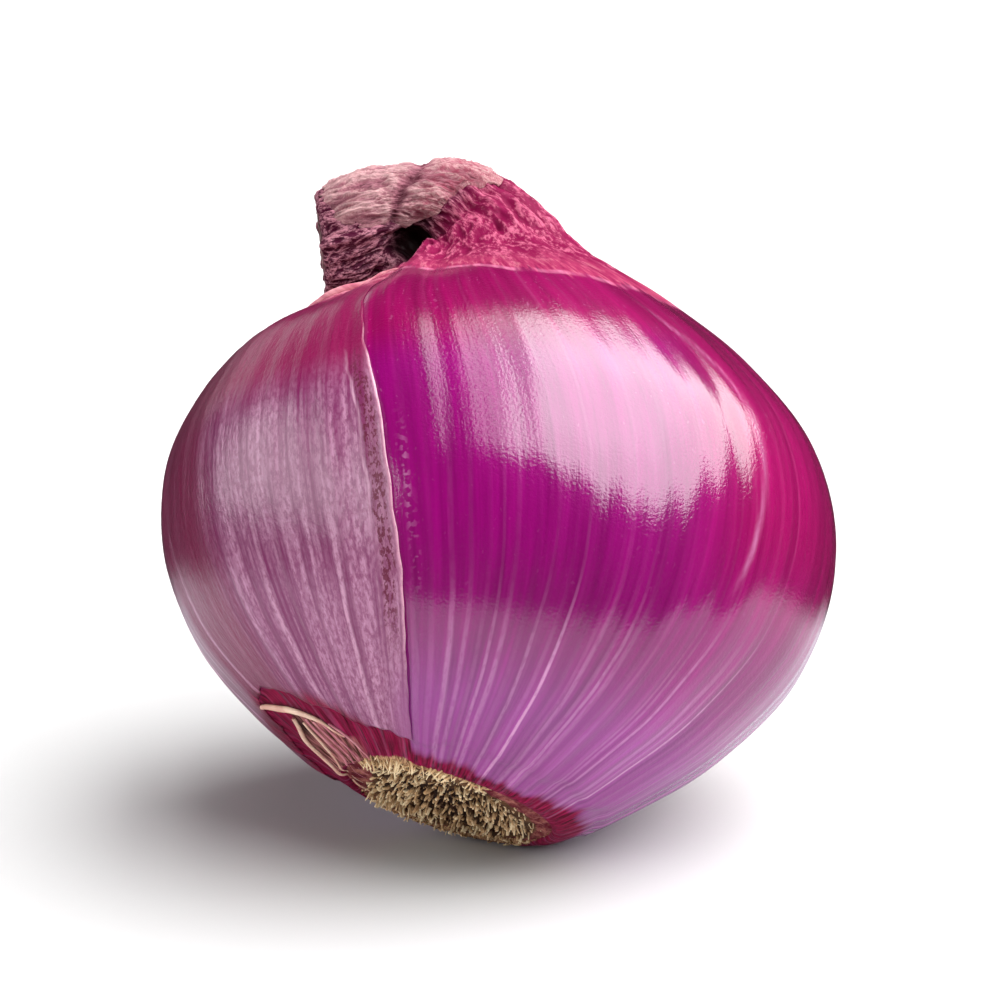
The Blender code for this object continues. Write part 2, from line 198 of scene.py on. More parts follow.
# The torn skin by the root plate: curled edges and strands, each a radius and a line of stations and
# degrees. Below TORN_OVER_T a strand runs over the plate.
TORN_EDGES = (
    (0.42, ((5.6, -173), (5.48, -170), (5.34, -166), (5.22, -160), (5.08, -155), (4.94, -151), (4.8, -148),
            (4.66, -146), (4.53, -144), (4.4, -142))),
    (0.32, ((5.06, -164), (4.95, -165), (4.83, -167.5), (4.7, -171), (4.4, -175), (4, -179), (3.6, -181),
            (3.2, -182), (2.8, -183), (2.4, -185), (2.15, -189), (1.9, -196), (1.6, -203))),
    (0.19, ((4.95, -156), (4.6, -156.5), (4.2, -156), (3.8, -155), (3.4, -157), (3, -160), (2.6, -164),
            (2.2, -168), (1.5, -172))),
    (0.17, ((4.9, -150), (4.55, -148), (4.2, -145), (3.8, -143), (3.4, -143), (3, -145), (2.4, -149),
            (1.7, -153))),
    (0.16, ((4.75, -144.5), (4.5, -141.5), (4.2, -138.5), (3.8, -136), (3.5, -135), (3.2, -134.5))),
    (0.2, ((4.9, -160), (4.55, -162), (4.2, -164), (3.8, -166), (3.4, -169), (3, -173), (2.4, -179),
           (1.6, -186))),
    (0.15, ((4.85, -153), (4.5, -152), (4.1, -150), (3.7, -149), (3.3, -150), (2.9, -152), (2.3, -157),
            (1.5, -163))),
)
PALE_TEARS = (1, 2, 6)
TORN_OVER_T = 2.2
ROLL_TURNS = (-60, 200)
ROLL_PEAK = 0.25
ROLL_SIZES = (0.8, 0.95, 1, 0.62, 0.22)
ROLL_CELLS = (96, 14)
ROLL_THICKNESS = 0.13

# The inside of the tear, painted dark as shade with pink streaks: its middle and half width in degrees, and
# its stations
PIT_DEG = -160
PIT_HALF_DEG = 34
PIT_STATIONS = (3, 6.4)

# Where the skin turns crimson towards the root plate: degrees and station
CRIMSON_EDGE = ((-215, 4.7), (-190, 5.6), (-174, 5.9), (-164, 5.75), (-149, 5.55), (-140, 5.45),
                (-135, 5.15), (-129, 4.9), (-123, 4.55), (-110, 4.25), (-97, 4.2), (-85, 4.15), (-66, 4),
                (-54, 4), (-44, 4.15), (-23, 4.3), (20, 4.35), (145, 4.4))
CRIMSON_WAVES = ((17, 0.05, 0), (41, 0.04, 2), (73, 0.03, 1))

# Root plate: its outline as radius and height, and its lumps as scale and height
PLATE_PROFILE = ((10.8, 0.35), (11.4, 1), (11.9, 1.6), (12.1, 2), (11.4, 2.25), (9.4, 2.2), (6, 2.2),
                 (3, 2.2), (0.4, 2.2))
PLATE_RADIUS = 12.1
PLATE_TOP = 2.1
PLATE_SEGMENTS = 160
PLATE_ROWS = 90
PLATE_LUMPS = ((0.55, 0.45), (1.5, 0.28))
PLATE_SEED = 5
PLATE_CENTRE = STATIONS[1][:3]
PLATE_LEAN = math.radians(STATIONS[1][3])
PLATE_ACROSS = np.array((math.cos(PLATE_LEAN), 0, math.sin(PLATE_LEAN)))
PLATE_AWAY = np.array((0.0, 1.0, 0.0))
PLATE_OUT = np.cross(PLATE_AWAY, PLATE_ACROSS)

# Dried roots
ROOT_SEED = 11
ROOT_SIDES = 6
ROOT_SECTIONS = 7
ROOT_FLOOR_CLEARANCE = 0.35
ROOT_SHORTER = (1, 0.75, 0.5, 0.3, 0.15)
CLUMP_SCALE = 1.1
GOLDEN_ANGLE = math.pi * (3 - math.sqrt(5))
# Each belt of roots: count, inner and outer radius, splay, lengths, radii
ROOT_BELTS = (
    (620, 7, 11.6, (0, 1.3), (0.5, 1.5), (0.09, 0.23)),
    (300, 4, 8.2, (0, 1), (0.4, 1.6), (0.11, 0.3)),
    (140, 0.3, 5.4, (0, 0.9), (0.4, 1.5), (0.13, 0.36)),
)
# How far the roots reach on the plate, and how much longer they are: degrees and mm
TUFT_LIMIT = ((-180, 8.6), (-156, 9.4), (-140, 11.3), (-96, 11.3), (-78, 10.6), (-56, 9.2), (-22, 9.5),
              (12, 10.4), (50, 11), (130, 11.4), (150, 10.8), (166, 9.6), (180, 8.6))
ROOT_EXTRA = ((-180, 0.1), (-150, 0), (50, 0), (95, 0.2), (130, 0.45), (150, 0.35), (180, 0.1))
# Stubs on the lip of the skin beside the plate: how many, between which angles and stations, their
# lengths and radii, and the station where they end
RIM_STUBS = 1100
RIM_SPAN = (-152, 150)
RIM_STATIONS = (2.2, 4)
RIM_LENGTHS = (0.5, 1.5)
RIM_RADII = (0.08, 0.2)
RIM_END = ((-180, 2.3), (-150, 2.7), (-141, 3.3), (-133, 3.8), (-113, 3.95), (-104, 3.6), (-94, 3.45),
           (-81, 3.3), (-72, 2.95), (-60, 2.3), (25, 2.3), (50, 3.1), (75, 3.35), (110, 3.35), (135, 3),
           (155, 2.3), (180, 2.3))

# Stage: the floor in metres, and the card's outline and faded border in mm
DIM_GREY = (0.02, 0.02, 0.02)
FLOOR_GREY = (0.6, 0.6, 0.6)
FLOOR_HALF = 4.0
FLOOR_HEIGHT = -0.0001
CARD_HEIGHT = -0.00005
CARD_WHITE = (0.44, 0.42, 0.47)
CARD_FADE = 7
CARD_OUTLINE = ((-150, -104), (0, -104), (34, -88), (62, -72), (92, -56), (112, -30), (110, 4), (88, 18),
                (66, 34), (57, 52), (20, 60), (-70, 54), (-84, 30), (-110, 0))

# Camera and framing
CAMERA_ELEVATION = math.radians(20)
CAMERA_LENS = 500
SENSOR = 36
FRAME_WIDTH = 113
TARGET = np.array((0.2, 1.2, 37.6))


def turn_from(angle, degrees):
    """Angles in radians as degrees from a given direction, between -180 and 180."""
    return (np.degrees(angle) - degrees + 180) % 360 - 180


def bell(value, width, power=2):
    return np.exp(-np.abs(value / width) ** power)


def spot_at(spot, t, angle):
    """1 in the middle of a soft spot on the skin, down to 0 away from it."""
    station, length, degrees, width, across, along = spot
    return bell(turn_from(angle, degrees), width, across) * bell(t - station, length, along)


def ramp(value):
    return np.clip(value, 0, 1)


def smooth(value):
    value = ramp(value)
    return value * value * (3 - 2 * value)


def unit(vectors):
    """The same directions at length 1."""
    return vectors / np.maximum(np.linalg.norm(vectors, axis=-1, keepdims=True), 1e-9)


def look_up(table, at):
    """Values from a table of places and values."""
    places, values = np.array(table, float).T
    return np.interp(at, places, values)


def around(table, angle):
    """Values at angles in radians, from a table of degrees and values."""
    return look_up(table, turn_from(angle, 0))


def through(knots, count):
    """Evenly spaced values along the rows of a table, one array for each column."""
    fine = np.linspace(0, len(knots) - 1, count)
    return [np.interp(fine, np.arange(len(knots)), column) for column in np.array(knots, float).T]


def waves(table, angle):
    """The sum of waves round the bulb, each a count, a height and a phase."""
    return sum(height * np.cos(count * angle + phase) for count, height, phase in table)


def relax(values, times):
    """Round off a line of values, with its ends kept."""
    for _ in range(times):
        values[1:-1] = (values[:-2] + 2 * values[1:-1] + values[2:]) / 4
    return values


def noise_at(points, scale, seed=0):
    """Smooth noise between -1 and 1 at an array of points."""
    flat = points.reshape(-1, 3) * scale + seed
    values = np.fromiter((noise.noise(Vector(point)) for point in flat), float, len(flat))
    return values.reshape(points.shape[:-1])


def line_noise(places, seed=0):
    """Smooth noise at places along a line."""
    return noise_at(np.stack((places, 0 * places, 0 * places), axis=-1), 1, seed)


def barrel(angle, radius, along):
    """Points on a barrel, so that noise there joins up all the way round."""
    return np.stack((np.cos(angle) * radius, np.sin(angle) * radius, along), axis=-1)


def dry_folds(spot, warp, folds):
    """Folds of dry skin, 0 on a ridge and more in a valley: warp and folds are size, scale and seed."""
    size, scale, seed = warp
    spot = spot + size * noise_at(spot, scale, seed)[..., None]
    return sum(size * np.abs(noise_at(spot, scale, seed)) for size, scale, seed in folds)


def stations_at(t):
    """Ring values at station numbers t, by a smooth curve through the stations."""
    last = len(STATIONS) - 1
    low = np.clip(np.floor(t).astype(int), 0, last - 1)
    f = (t - low)[..., None]
    before = STATIONS[np.clip(low - 1, 0, last)]
    start = STATIONS[low]
    end = STATIONS[low + 1]
    after = STATIONS[np.clip(low + 2, 0, last)]
    return 0.5 * (2 * start + (end - before) * f + (2 * before - 5 * start + 4 * end - after) * f ** 2
                  + (3 * start - before - 3 * end + after) * f ** 3)


def on_rings(ring, radius, depth, angle):
    """Points on rings with a centre and a lean, where depth is a ring's depth over its width."""
    x, y, z, lean = ring
    lean = np.radians(lean)
    across = radius * np.cos(angle)
    return np.stack((x + across * np.cos(lean), y + radius * depth * np.sin(angle),
                     z + across * np.sin(lean)), axis=-1)


def ring_points(t, angle):
    """Points of the bare rings, without relief, at station numbers t and angles in radians."""
    *ring, radius, depth = np.moveaxis(stations_at(t), -1, 0)
    return on_rings(ring, radius * (1 - FOLD_DEPTH * spot_at(FOLD, t, angle)), depth, angle)


def outward(t, angle):
    """Unit vectors that stand out from the bare rings."""
    step = 0.002
    along = ring_points(t + step, angle) - ring_points(t - step, angle)
    round_it = ring_points(t, angle + step) - ring_points(t, angle - step)
    return unit(np.cross(round_it, along))


def ribs(t, angle):
    """Lengthwise folds, faint on the body and strong on the neck."""
    return look_up(RIB_STRENGTHS, t) * waves(RIB_WAVES, angle)


def fine_ribs(t, angle):
    """Fine lengthwise ridges, which wander a little on their way to the neck."""
    rng = random.Random(FINE_SEED)
    total = np.zeros(np.broadcast(t, angle).shape)
    for _ in range(FINE_WAVES):
        count = rng.randint(*FINE_COUNTS)
        phase = rng.uniform(0, TURN)
        wander = rng.uniform(*FINE_WANDER)
        total = total + np.cos(count * angle + phase + np.sin(t * wander + phase))
    return look_up(FINE_HEIGHTS, t) * total


def collar_edge(angle):
    """Station where the glossy skin ends round the root plate, in a ragged edge."""
    rise = TEAR_RISE * bell(turn_from(angle, TEAR_DEG), TEAR_WIDTH_DEG)
    return COLLAR_T + waves(COLLAR_WAVES, angle) + rise


def wrinkles(t, angle):
    """Creases of the dry neck, from 1 on a ridge to about -1 in a valley."""
    return 1 - dry_folds(barrel(angle, WRINKLE_AROUND, t * WRINKLE_ALONG), WRINKLE_WARP, WRINKLE_FOLDS)


def neck_foot(angle):
    """Station where the dry neck starts."""
    behind = smooth(turn_from(angle, 10) / 30) * smooth((170 - turn_from(angle, 0)) / 20)
    return around(NECK_FOOT, angle) + behind * waves(FOOT_WAVES, angle)


def crimson_edge(angle):
    """Station where the skin turns crimson towards the root plate, in a ragged line."""
    middle = -35
    return look_up(CRIMSON_EDGE, turn_from(angle, middle) + middle) + waves(CRIMSON_WAVES, angle)


def under_flap(t, angle):
    """1 where the skin lies well under the dry flap."""
    degrees = turn_from(angle, 0)
    back = smooth((FLAP_BACK_DEG - 6 - degrees) / 8)
    front = smooth((degrees - look_up(FLAP_FRONT, t) - 6) / 10)
    return back * front * smooth((t - FLAP_START - 0.15) / 0.3) * smooth((FLAP_END - 0.1 - t) / 0.3)


def skin_height(t, angle, points):
    """Relief of the glossy skin over the bare rings."""
    crumple = look_up(CRUMPLE_DEPTHS, t) * noise_at(points, CRUMPLE_SCALE)
    calm = 1 - BEND_CALM * spot_at(BEND, t, angle)
    step = ramp((t - collar_edge(angle)) / COLLAR_STEP_WIDTH) * ramp((T_NECK - t) / COLLAR_STEP_FADE)
    dry = look_up(WRINKLE_STRENGTHS, t) * (0.4 + 0.6 * calm)
    height = (ribs(t, angle) + crumple) * calm - CREASE_DEPTH * spot_at(CREASE, t, angle)
    height = height + COLLAR_STEP * step + fine_ribs(t, angle)
    height = height + WRINKLE_HEIGHT * dry * wrinkles(t, angle) - HOLLOW_DEPTH * spot_at(HOLLOW, t, angle)
    height = height - FLAP_COVER_DEPTH * under_flap(t, angle)
    return height * ramp(t - T_LIP + 0.5)


def skin_points(t, angle, lift=0):
    points = ring_points(t, angle)
    return points + (skin_height(t, angle, points) + lift)[..., None] * outward(t, angle)


def place(points):
    """Lean upright points back, set them on the floor and turn them into metres."""
    x, y, z = np.moveaxis(np.asarray(points, float), -1, 0)
    leaned = np.stack((x, y * math.cos(LEAN) + z * math.sin(LEAN), z * math.cos(LEAN) - y * math.sin(LEAN)),
                      axis=-1) + SEAT
    leaned[..., 2] = np.maximum(leaned[..., 2], 0)
    return leaned * MM


def add_object(name, data):
    obj = bpy.data.objects.new(name, data)
    bpy.context.scene.collection.objects.link(obj)
    return obj


def make_object(name, points, faces, material):
    """A smooth piece of the onion from placed points and faces."""
    mesh = bpy.data.meshes.new(name)
    mesh.from_pydata(points.reshape(-1, 3).tolist(), [], faces)
    mesh.materials.append(material)
    mesh.shade_smooth()
    obj = add_object(name, mesh)
    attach(obj, "root")
    return obj


def quads(grid):
    """Faces between the rows of a grid of point numbers."""
    corners = (grid[:-1, :-1], grid[:-1, 1:], grid[1:, 1:], grid[1:, :-1])
    return np.stack(corners, axis=-1).reshape(-1, 4).tolist()


def capped(rings):
    """Points of a stack of rings in one list, followed by the middles of its first and last ring."""
    return np.concatenate((rings.reshape(-1, 3), rings[:1].mean(axis=1), rings[-1:].mean(axis=1)))


def tube_faces(rings, count):
    """Faces of a closed stack of rings, with a fan at each end round an extra point."""
    grid = np.arange(rings * count).reshape(rings, count)
    grid = np.column_stack((grid, grid[:, 0]))
    faces = quads(grid)
    middle = rings * count
    for low, low_after, high, high_after in zip(grid[0], grid[0, 1:], grid[-1], grid[-1, 1:]):
        faces += [(middle, low_after, low), (middle + 1, high, high_after)]
    return faces


def slab_faces(rows, columns):
    """Faces of a thin closed sheet: an outer grid, an inner grid after it, and the four rims."""
    grid = np.arange(rows * columns).reshape(rows, columns)
    inner = rows * columns
    rim = np.concatenate((grid[0], grid[1:, -1], grid[-1, -2::-1], grid[-2:0:-1, 0]))
    after = np.roll(rim, -1)
    sides = np.stack((after, rim, rim + inner, after + inner), axis=-1).tolist()
    return quads(grid) + [face[::-1] for face in quads(grid + inner)] + sides


def mark(obj, name, values, kind="FLOAT", field="value"):
    """Give each point of a piece a value for its material."""
    attribute = obj.data.attributes.new(name, kind, "POINT")
    attribute.data.foreach_set(field, np.asarray(values, np.float32).ravel())


def whole_numbers(items, field):
    values = np.zeros(len(items), int)
    items.foreach_get(field, values)
    return values


def vein_knots():
    """Angles in radians of the veins round the bulb, unevenly spaced."""
    rng = random.Random(VEIN_SEED)
    return [(number + rng.uniform(-VEIN_JITTER, VEIN_JITTER)) * TURN / VEINS for number in range(VEINS)]


def vein_count(angle):
    """How many veins lie between angle 0 and this angle, as a smooth count."""
    knots = vein_knots()
    knots = np.array([knots[-1] - TURN] + knots + [knots[0] + TURN])
    turns = np.floor(angle / TURN)
    return np.interp(angle - turns * TURN, knots, np.arange(-1, VEINS + 1)) + turns * VEINS


def mark_skin(obj, t, angle, **masks):
    """Give a skin piece its place on the rings, the gap between its veins, their count and its masks."""
    mark(obj, "ring", barrel(angle, 1, t), "FLOAT_VECTOR", "vector")
    mark(obj, "vein_gap", stations_at(t)[..., 4] * TURN / VEINS)
    for name, values in masks.items():
        mark(obj, name, values)
    corners = whole_numbers(obj.data.loops, "vertex_index")
    starts = whole_numbers(obj.data.polygons, "loop_start")
    turn = angle[corners]
    first = np.repeat(turn[starts], whole_numbers(obj.data.polygons, "loop_total"))
    turn = turn + np.round((first - turn) / TURN) * TURN
    places = np.stack((vein_count(turn), t[corners]), axis=-1)
    obj.data.uv_layers.new(name="veins").data.foreach_set("uv", places.astype(np.float32).ravel())


def unit_grid(rows, columns):
    """How far the points of a grid are across and along it, from 0 to 1."""
    return np.meshgrid(np.linspace(0, 1, columns), np.linspace(0, 1, rows))


def make_slab(name, outer, inner, t, angle, material, **masks):
    """A thin closed sheet of skin between two grids of points, with what its material reads."""
    placed = np.concatenate((place(outer).reshape(-1, 3), place(inner).reshape(-1, 3)))
    obj = make_object(name, placed, slab_faces(*t.shape), material)
    masks = {mask: np.tile(values.ravel(), 2) for mask, values in masks.items()}
    mark_skin(obj, np.tile(t.ravel(), 2), np.tile(angle.ravel(), 2), **masks)


def make_outer_skin(material):
    """The thin dry skin over the left of the bulb, with a curled front edge and a ragged hem."""
    share, along = unit_grid(*OUTER_CELLS)
    nominal = COLLAR_T + along * (OUTER_TOP_T - COLLAR_T)
    front = look_up(FRONT_EDGE, nominal) + 0.35 * line_noise(nominal * 3.1)
    angle = np.radians(front + share * (BACK_EDGE_DEG - front))
    bottom = collar_edge(angle) + HEM_GAP + waves(HEM_WAVES, angle)
    t = bottom + along * (OUTER_TOP_T - bottom)
    border = np.minimum(share, 1 - share) * OUTER_SPAN_DEG
    curl = OUTER_CURL * np.exp(-border / OUTER_CURL_DEG) * (0.6 + 0.4 * np.sin(nominal * 2.3 + 1))
    loose = 1 - 0.85 * smooth((t - 9.2) / 1.2)
    low = np.exp(-along * (OUTER_TOP_T - COLLAR_T) / 0.16)
    lift = (OUTER_GAP + curl) * loose * (1 - 0.75 * low)
    thickness = OUTER_THICKNESS * (0.35 + 0.65 * loose) * (1 - 0.5 * low)
    gap = share * np.radians(FRONT_EDGE[0][1] - BACK_EDGE_DEG) * stations_at(t)[..., 4]
    rim = np.exp(-border / 0.35) * smooth((10 - t) / 0.8) * smooth((t - 4.9) / 2)
    # Where the outer skin is painted darker and less pale towards the back, as shade beyond the left panel's
    # sheen
    back = smooth((BACK_SHADE_DEG + 180 - turn_from(angle, 180)) / 12)
    make_slab("outer_skin", skin_points(t, angle, lift + thickness), skin_points(t, angle, lift), t, angle,
              material, foot=t - neck_foot(angle), rim=rim, gap=gap, back=back,
              crimson=smooth((crimson_edge(angle) + 0.1 - t) / 0.35))


def make_flap(material):
    """Dry outer skin, crumpled over the folded neck in two humps."""
    across, along = unit_grid(*FLAP_CELLS)
    t = FLAP_START + along * (FLAP_END - FLAP_START)
    front = look_up(FLAP_FRONT, t) + 2 * line_noise(t * 3, 4)
    angle = np.radians(FLAP_BACK_DEG + across * (front - FLAP_BACK_DEG))
    t = t + smooth(along) * (0.12 * np.sin(angle * 7) + 0.08 * np.sin(angle * 17))
    t = t + (1 - smooth(along)) * 0.1 * np.sin(angle * 5 + 1)
    folds = 0.85 - dry_folds(barrel(angle, 6, t * 0.9), FLAP_WARP, FLAP_FOLDS)
    humps = sum(height * bell(t - station, length) for station, height, length in FLAP_HUMPS)
    dent = FLAP_CREASE_DEPTH * bell(t - FLAP_CREASE_T - 0.12 * np.sin(angle * 3), 0.13)
    edge = np.minimum(np.minimum(1 - across, 1 - along) * 12, along * 14)
    tuck = -0.45 * (1 - smooth((1 - across) * 14))
    relief = (0.55 * folds + humps - dent) * (0.35 + 0.65 * smooth(edge))
    lift = FLAP_LIFT + relief + tuck + 0.35 * ribs(t, angle)
    points = ring_points(t, angle)
    out = outward(t, angle)
    # Its ridge mask paints highlight on the folds' ridges and shade in their valleys and the crease
    make_slab("neck_flap", points + (lift + FLAP_THICKNESS)[..., None] * out, points + lift[..., None] * out,
              t, angle, material, rim=np.exp(-edge * 2), ridge=ramp(0.55 + 0.5 * folds - 1.2 * dent))


def make_neck_layers(material):
    """The papery layers rolled up inside the open end of the neck."""
    share, along = unit_grid(*LAYER_CELLS)
    angle = share * LAYER_TURNS * TURN
    ragged = noise_at(barrel(angle, 2.5, share * 9), 1, 6)
    top = LAYER_TOP_T + 0.22 * ragged + 0.35 * share
    t = LAYER_LOW_T + along * (top - LAYER_LOW_T)
    crumple = noise_at(barrel(angle, 1.6, share * 9 + along), 1.2, 2)
    fine = noise_at(barrel(angle, 7, share * 20 + along * 0.6), 1, 3)
    radius = look_up(LAYER_RADII, share) + 1.1 * crumple + 0.3 * fine
    radius = np.clip(radius, *LAYER_LIMITS) * (0.8 + 0.2 * along)
    ring = np.moveaxis(stations_at(t), -1, 0)[:4]
    # Its ridge mask paints the layers darker deeper in the neck, as shade, and varies them with noise
    make_slab("neck_layers", on_rings(ring, radius, NECK_DEPTH, angle),
              on_rings(ring, radius - LAYER_THICKNESS, NECK_DEPTH, angle), t, angle, material,
              ridge=0.2 + 0.5 * along ** 2 + 0.5 * fine, rim=smooth((along - 0.9) / 0.1))


def line_on_skin(knots):
    """Stations and angles along a line through its knots, rounded off."""
    stations, degrees = through(knots, ROLL_CELLS[0])
    return relax(stations, 10), relax(np.radians(degrees), 10)


def across_plate(angle):
    """Directions from the root plate's middle to its edge."""
    return np.cos(angle)[..., None] * PLATE_ACROSS + np.sin(angle)[..., None] * PLATE_AWAY


def torn_line(t, angle, lift):
    """Points on the skin, which run over the root plate towards its middle at low stations."""
    over = np.maximum(TORN_OVER_T - t, 0)[:, None]
    on_skin = skin_points(np.maximum(t, TORN_OVER_T), angle, lift)
    return on_skin - 3.2 * over * across_plate(angle) + np.minimum(3 * over, 0.75) * PLATE_OUT


def make_roll(name, radius, knots, material, turns=ROLL_TURNS, lift=0, peak=ROLL_PEAK):
    """A strip of thin skin that rolls over along a line on the bulb, thickest at its peak."""
    t, angle = line_on_skin(knots)
    base = relax(torn_line(t, angle, lift), 20)
    up = outward(t, angle)
    for _ in range(12):
        up = unit(relax(up, 1))
    side = np.cross(unit(np.gradient(base, axis=0)), up)
    share = np.linspace(0, 1, len(t))
    size = radius * np.interp(share, (0, 0.5 * peak, peak, 0.5 + 0.5 * peak, 1), ROLL_SIZES)
    size = (size * (1 + 0.06 * np.sin(share * 9 + radius * 9)))[:, None]
    turn = np.radians(np.linspace(*turns, ROLL_CELLS[1]))
    layers = []
    for extra in (0, -min(ROLL_THICKNESS, 0.5 * radius)):
        reach = np.maximum(size + extra, 0.02)
        across = reach * np.cos(turn)
        rise = reach * np.sin(turn) + size * 0.25
        layers.append(base[:, None] + across[..., None] * side[:, None] + rise[..., None] * up[:, None])
    make_slab(name, *layers, t[:, None] + 0 * turn, angle[:, None] + 0.02 * turn, material)


def line_distance(points, knots, shift):
    """Distance in mm from points to a torn edge, moved towards the neck by a number of stations."""
    t, angle = line_on_skin(knots)
    line = skin_points(t + shift, angle)
    return np.array([np.sqrt(((line - point) ** 2).sum(axis=-1)).min() for point in points])


def tear_masks(t, angle, points):
    """The inside of the tear, painted dark as shade, and the slit above its upper edge, painted darker as
    that edge's shadow.
    """
    inside = np.zeros(len(t))
    slit = np.zeros(len(t))
    degrees = turn_from(angle, PIT_DEG) + PIT_DEG
    low, high = PIT_STATIONS
    near = np.flatnonzero((np.abs(degrees - PIT_DEG) < PIT_HALF_DEG) & (t > low) & (t < high))
    t, degrees = t[near], degrees[near]
    upper, lower = TORN_EDGES[0][1], TORN_EDGES[1][1]
    fade = smooth((-139 - degrees) / 8) * smooth((degrees + 178) / 6)
    above = 0.9 * bell(line_distance(points[near], upper, 0.07), 0.3, 3) * fade
    slit[near] = np.maximum(above, 0.85 * bell(t - 4.8, 0.28) * bell(degrees + 163, 3.6))
    top = look_up([(place_deg, station) for station, place_deg in upper], degrees)
    side = look_up(lower[::-1], t)
    below = smooth((top - t) / 0.08) * smooth((degrees - side) / 2)
    inside[near] = below * smooth((-133 - degrees) / 6)
    return inside, slit


def warmth(t, angle):
    """Where the purple skin turns to magenta: the right side and the shoulder."""
    degrees = turn_from(angle, 60)
    side = smooth((degrees + 124) / 26) * smooth((120 - degrees) / 50)
    return np.maximum(side * smooth((t - 6.4) / 1.5), smooth((t - 9.3) / 0.9))


def make_bulb(material):
    """The whole glossy skin, from the root recess to the hollow in the neck."""
    pieces = [np.linspace(low, high, count, endpoint=False) for low, high, count in RING_COUNTS]
    stations = np.append(np.concatenate(pieces), T_END)
    t, angle = np.meshgrid(stations, np.arange(SKIN_SEGMENTS) * TURN / SKIN_SEGMENTS, indexing="ij")
    local = capped(skin_points(t, angle))
    obj = make_object("bulb_skin", place(local), tube_faces(len(stations), SKIN_SEGMENTS), material)
    t = np.concatenate((t.ravel(), (0, T_END)))
    angle = np.concatenate((angle.ravel(), (0, 0)))
    from_left = turn_from(angle, 180)
    below_outer = (from_left > BACK_EDGE_DEG + 180) & (from_left < 72)
    red_edge = np.maximum(crimson_edge(angle), np.where(below_outer, collar_edge(angle) + 0.3, 0))
    # Masks of painted shade inside the tear and of a painted shadow in the slit over its upper edge
    tear, slit = tear_masks(t, angle, local)
    degrees = turn_from(angle, 0)
    dots = bell(degrees - look_up(FRONT_EDGE, t) - 2.8, 0.45) * bell(t - 7.7, 0.9, 4)
    line = bell(degrees - look_up(PALE_LINE, t), 0.55) * smooth((t - 7) / 0.6) * smooth((10.8 - t) / 0.8)
    ragged = 0.1 * noise_at(barrel(angle, 1, 0 * t), 22)
    mark_skin(obj, t, angle, warm=warmth(t, angle), crimson=ramp((red_edge - t) / 0.22),
              # The hollow mask paints shade near black under the fold and inside the open neck
              hollow=np.maximum(spot_at(HOLLOW, t, angle), smooth((t - T_MOUTH - 0.3) / 0.9)),
              # The ridge mask paints highlight on the neck's wrinkles and shade in their creases
              foot=t - neck_foot(angle), ridge=0.5 + 0.5 * wrinkles(t, angle), tear=tear, slit=slit,
              dots=dots, husk=ramp((around(RIM_END, angle) - 0.06 + ragged - t) / 0.08), line=line)
    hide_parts("bulb")


def plate_points(radius, angle, height):
    """Points over the root plate."""
    radius, angle, height = np.broadcast_arrays(radius, angle, height)
    return PLATE_CENTRE + height[..., None] * PLATE_OUT + radius[..., None] * across_plate(angle)


def make_plate(material):
    """The lumpy dry disc that the roots grow from."""
    turns = np.arange(PLATE_SEGMENTS) * -TURN / PLATE_SEGMENTS
    radius, height = (values[:, None] + 0 * turns for values in through(PLATE_PROFILE, PLATE_ROWS))
    smooth_disc = plate_points(radius, turns, height)
    lump = sum(size * noise_at(smooth_disc, scale, PLATE_SEED) for scale, size in PLATE_LUMPS)
    points = capped(plate_points(radius + 0.2 * lump, turns, height + lump * smooth(height - 1.5)))
    obj = make_object("root_plate", place(points), tube_faces(PLATE_ROWS, PLATE_SEGMENTS), material)
    bare = smooth((radius - around(TUFT_LIMIT, turns) + 0.3) / 0.9)
    for name, values in (("tone", radius / PLATE_RADIUS), ("bare", bare)):
        mark(obj, name, np.concatenate((values.ravel(), (1, 0))))
    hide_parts("root_tuft")


def low_side(angle, reach):
    """How far a root is on the plate's low side, near the floor."""
    return smooth(math.sin(angle) * reach)


def root_places(rng):
    """Radius, angle, splay, length and thickness of every dried root."""
    for count, inner, outer, splays, lengths, radii in ROOT_BELTS:
        for number in range(count):
            share = (number + rng.random()) / count
            radius = math.sqrt(inner ** 2 + share * (outer ** 2 - inner ** 2))
            angle = number * GOLDEN_ANGLE + rng.uniform(-0.2, 0.2)
            low = low_side(angle, radius / 8)
            splay = rng.uniform(*splays) * (1 - low) + rng.uniform(-0.5, 0.3) * low
            length = rng.uniform(*lengths) * (1 - 0.3 * low)
            length += around(ROOT_EXTRA, angle) * smooth((radius - 5) / 4)
            thickness = rng.uniform(*radii) * (1 + 0.45 * low)
            if radius < around(TUFT_LIMIT, angle) + rng.uniform(-0.7, 0.2):
                yield radius, angle, splay, length, thickness


def bent_line(base, heading, bend, length, buried):
    """The middle of a root that bends on its way out, and starts a share of its length below its base."""
    steps = np.linspace(-buried, 1, ROOT_SECTIONS)[:, None]
    return base + (heading * steps + bend * np.clip(steps, 0, 1) ** 2) * length


def clears_floor(line):
    return place(line)[:, 2].min() > ROOT_FLOOR_CLEARANCE * MM


def root_line(rng, radius, angle, splay, length):
    """Centre line of one dried root on the plate, shortened until it is clear of the floor."""
    radial = across_plate(angle)
    tangent = np.cross(PLATE_OUT, radial)
    low = low_side(angle, radius / 8)
    base = plate_points(radius, angle, PLATE_TOP - 0.7 * (radius / 11) ** 3 * (1 - low) + 0.15 * low)
    heading = unit(PLATE_OUT + radial * splay + tangent * rng.uniform(-0.5, 0.5) * (0.6 + 0.4 * splay))
    bend = tangent * rng.uniform(-0.3, 0.3) + PLATE_OUT * rng.uniform(-0.35, 0.15)
    for shorter in ROOT_SHORTER:
        line = bent_line(base, heading, bend, length * shorter, 0.25)
        if clears_floor(line):
            break
    return line


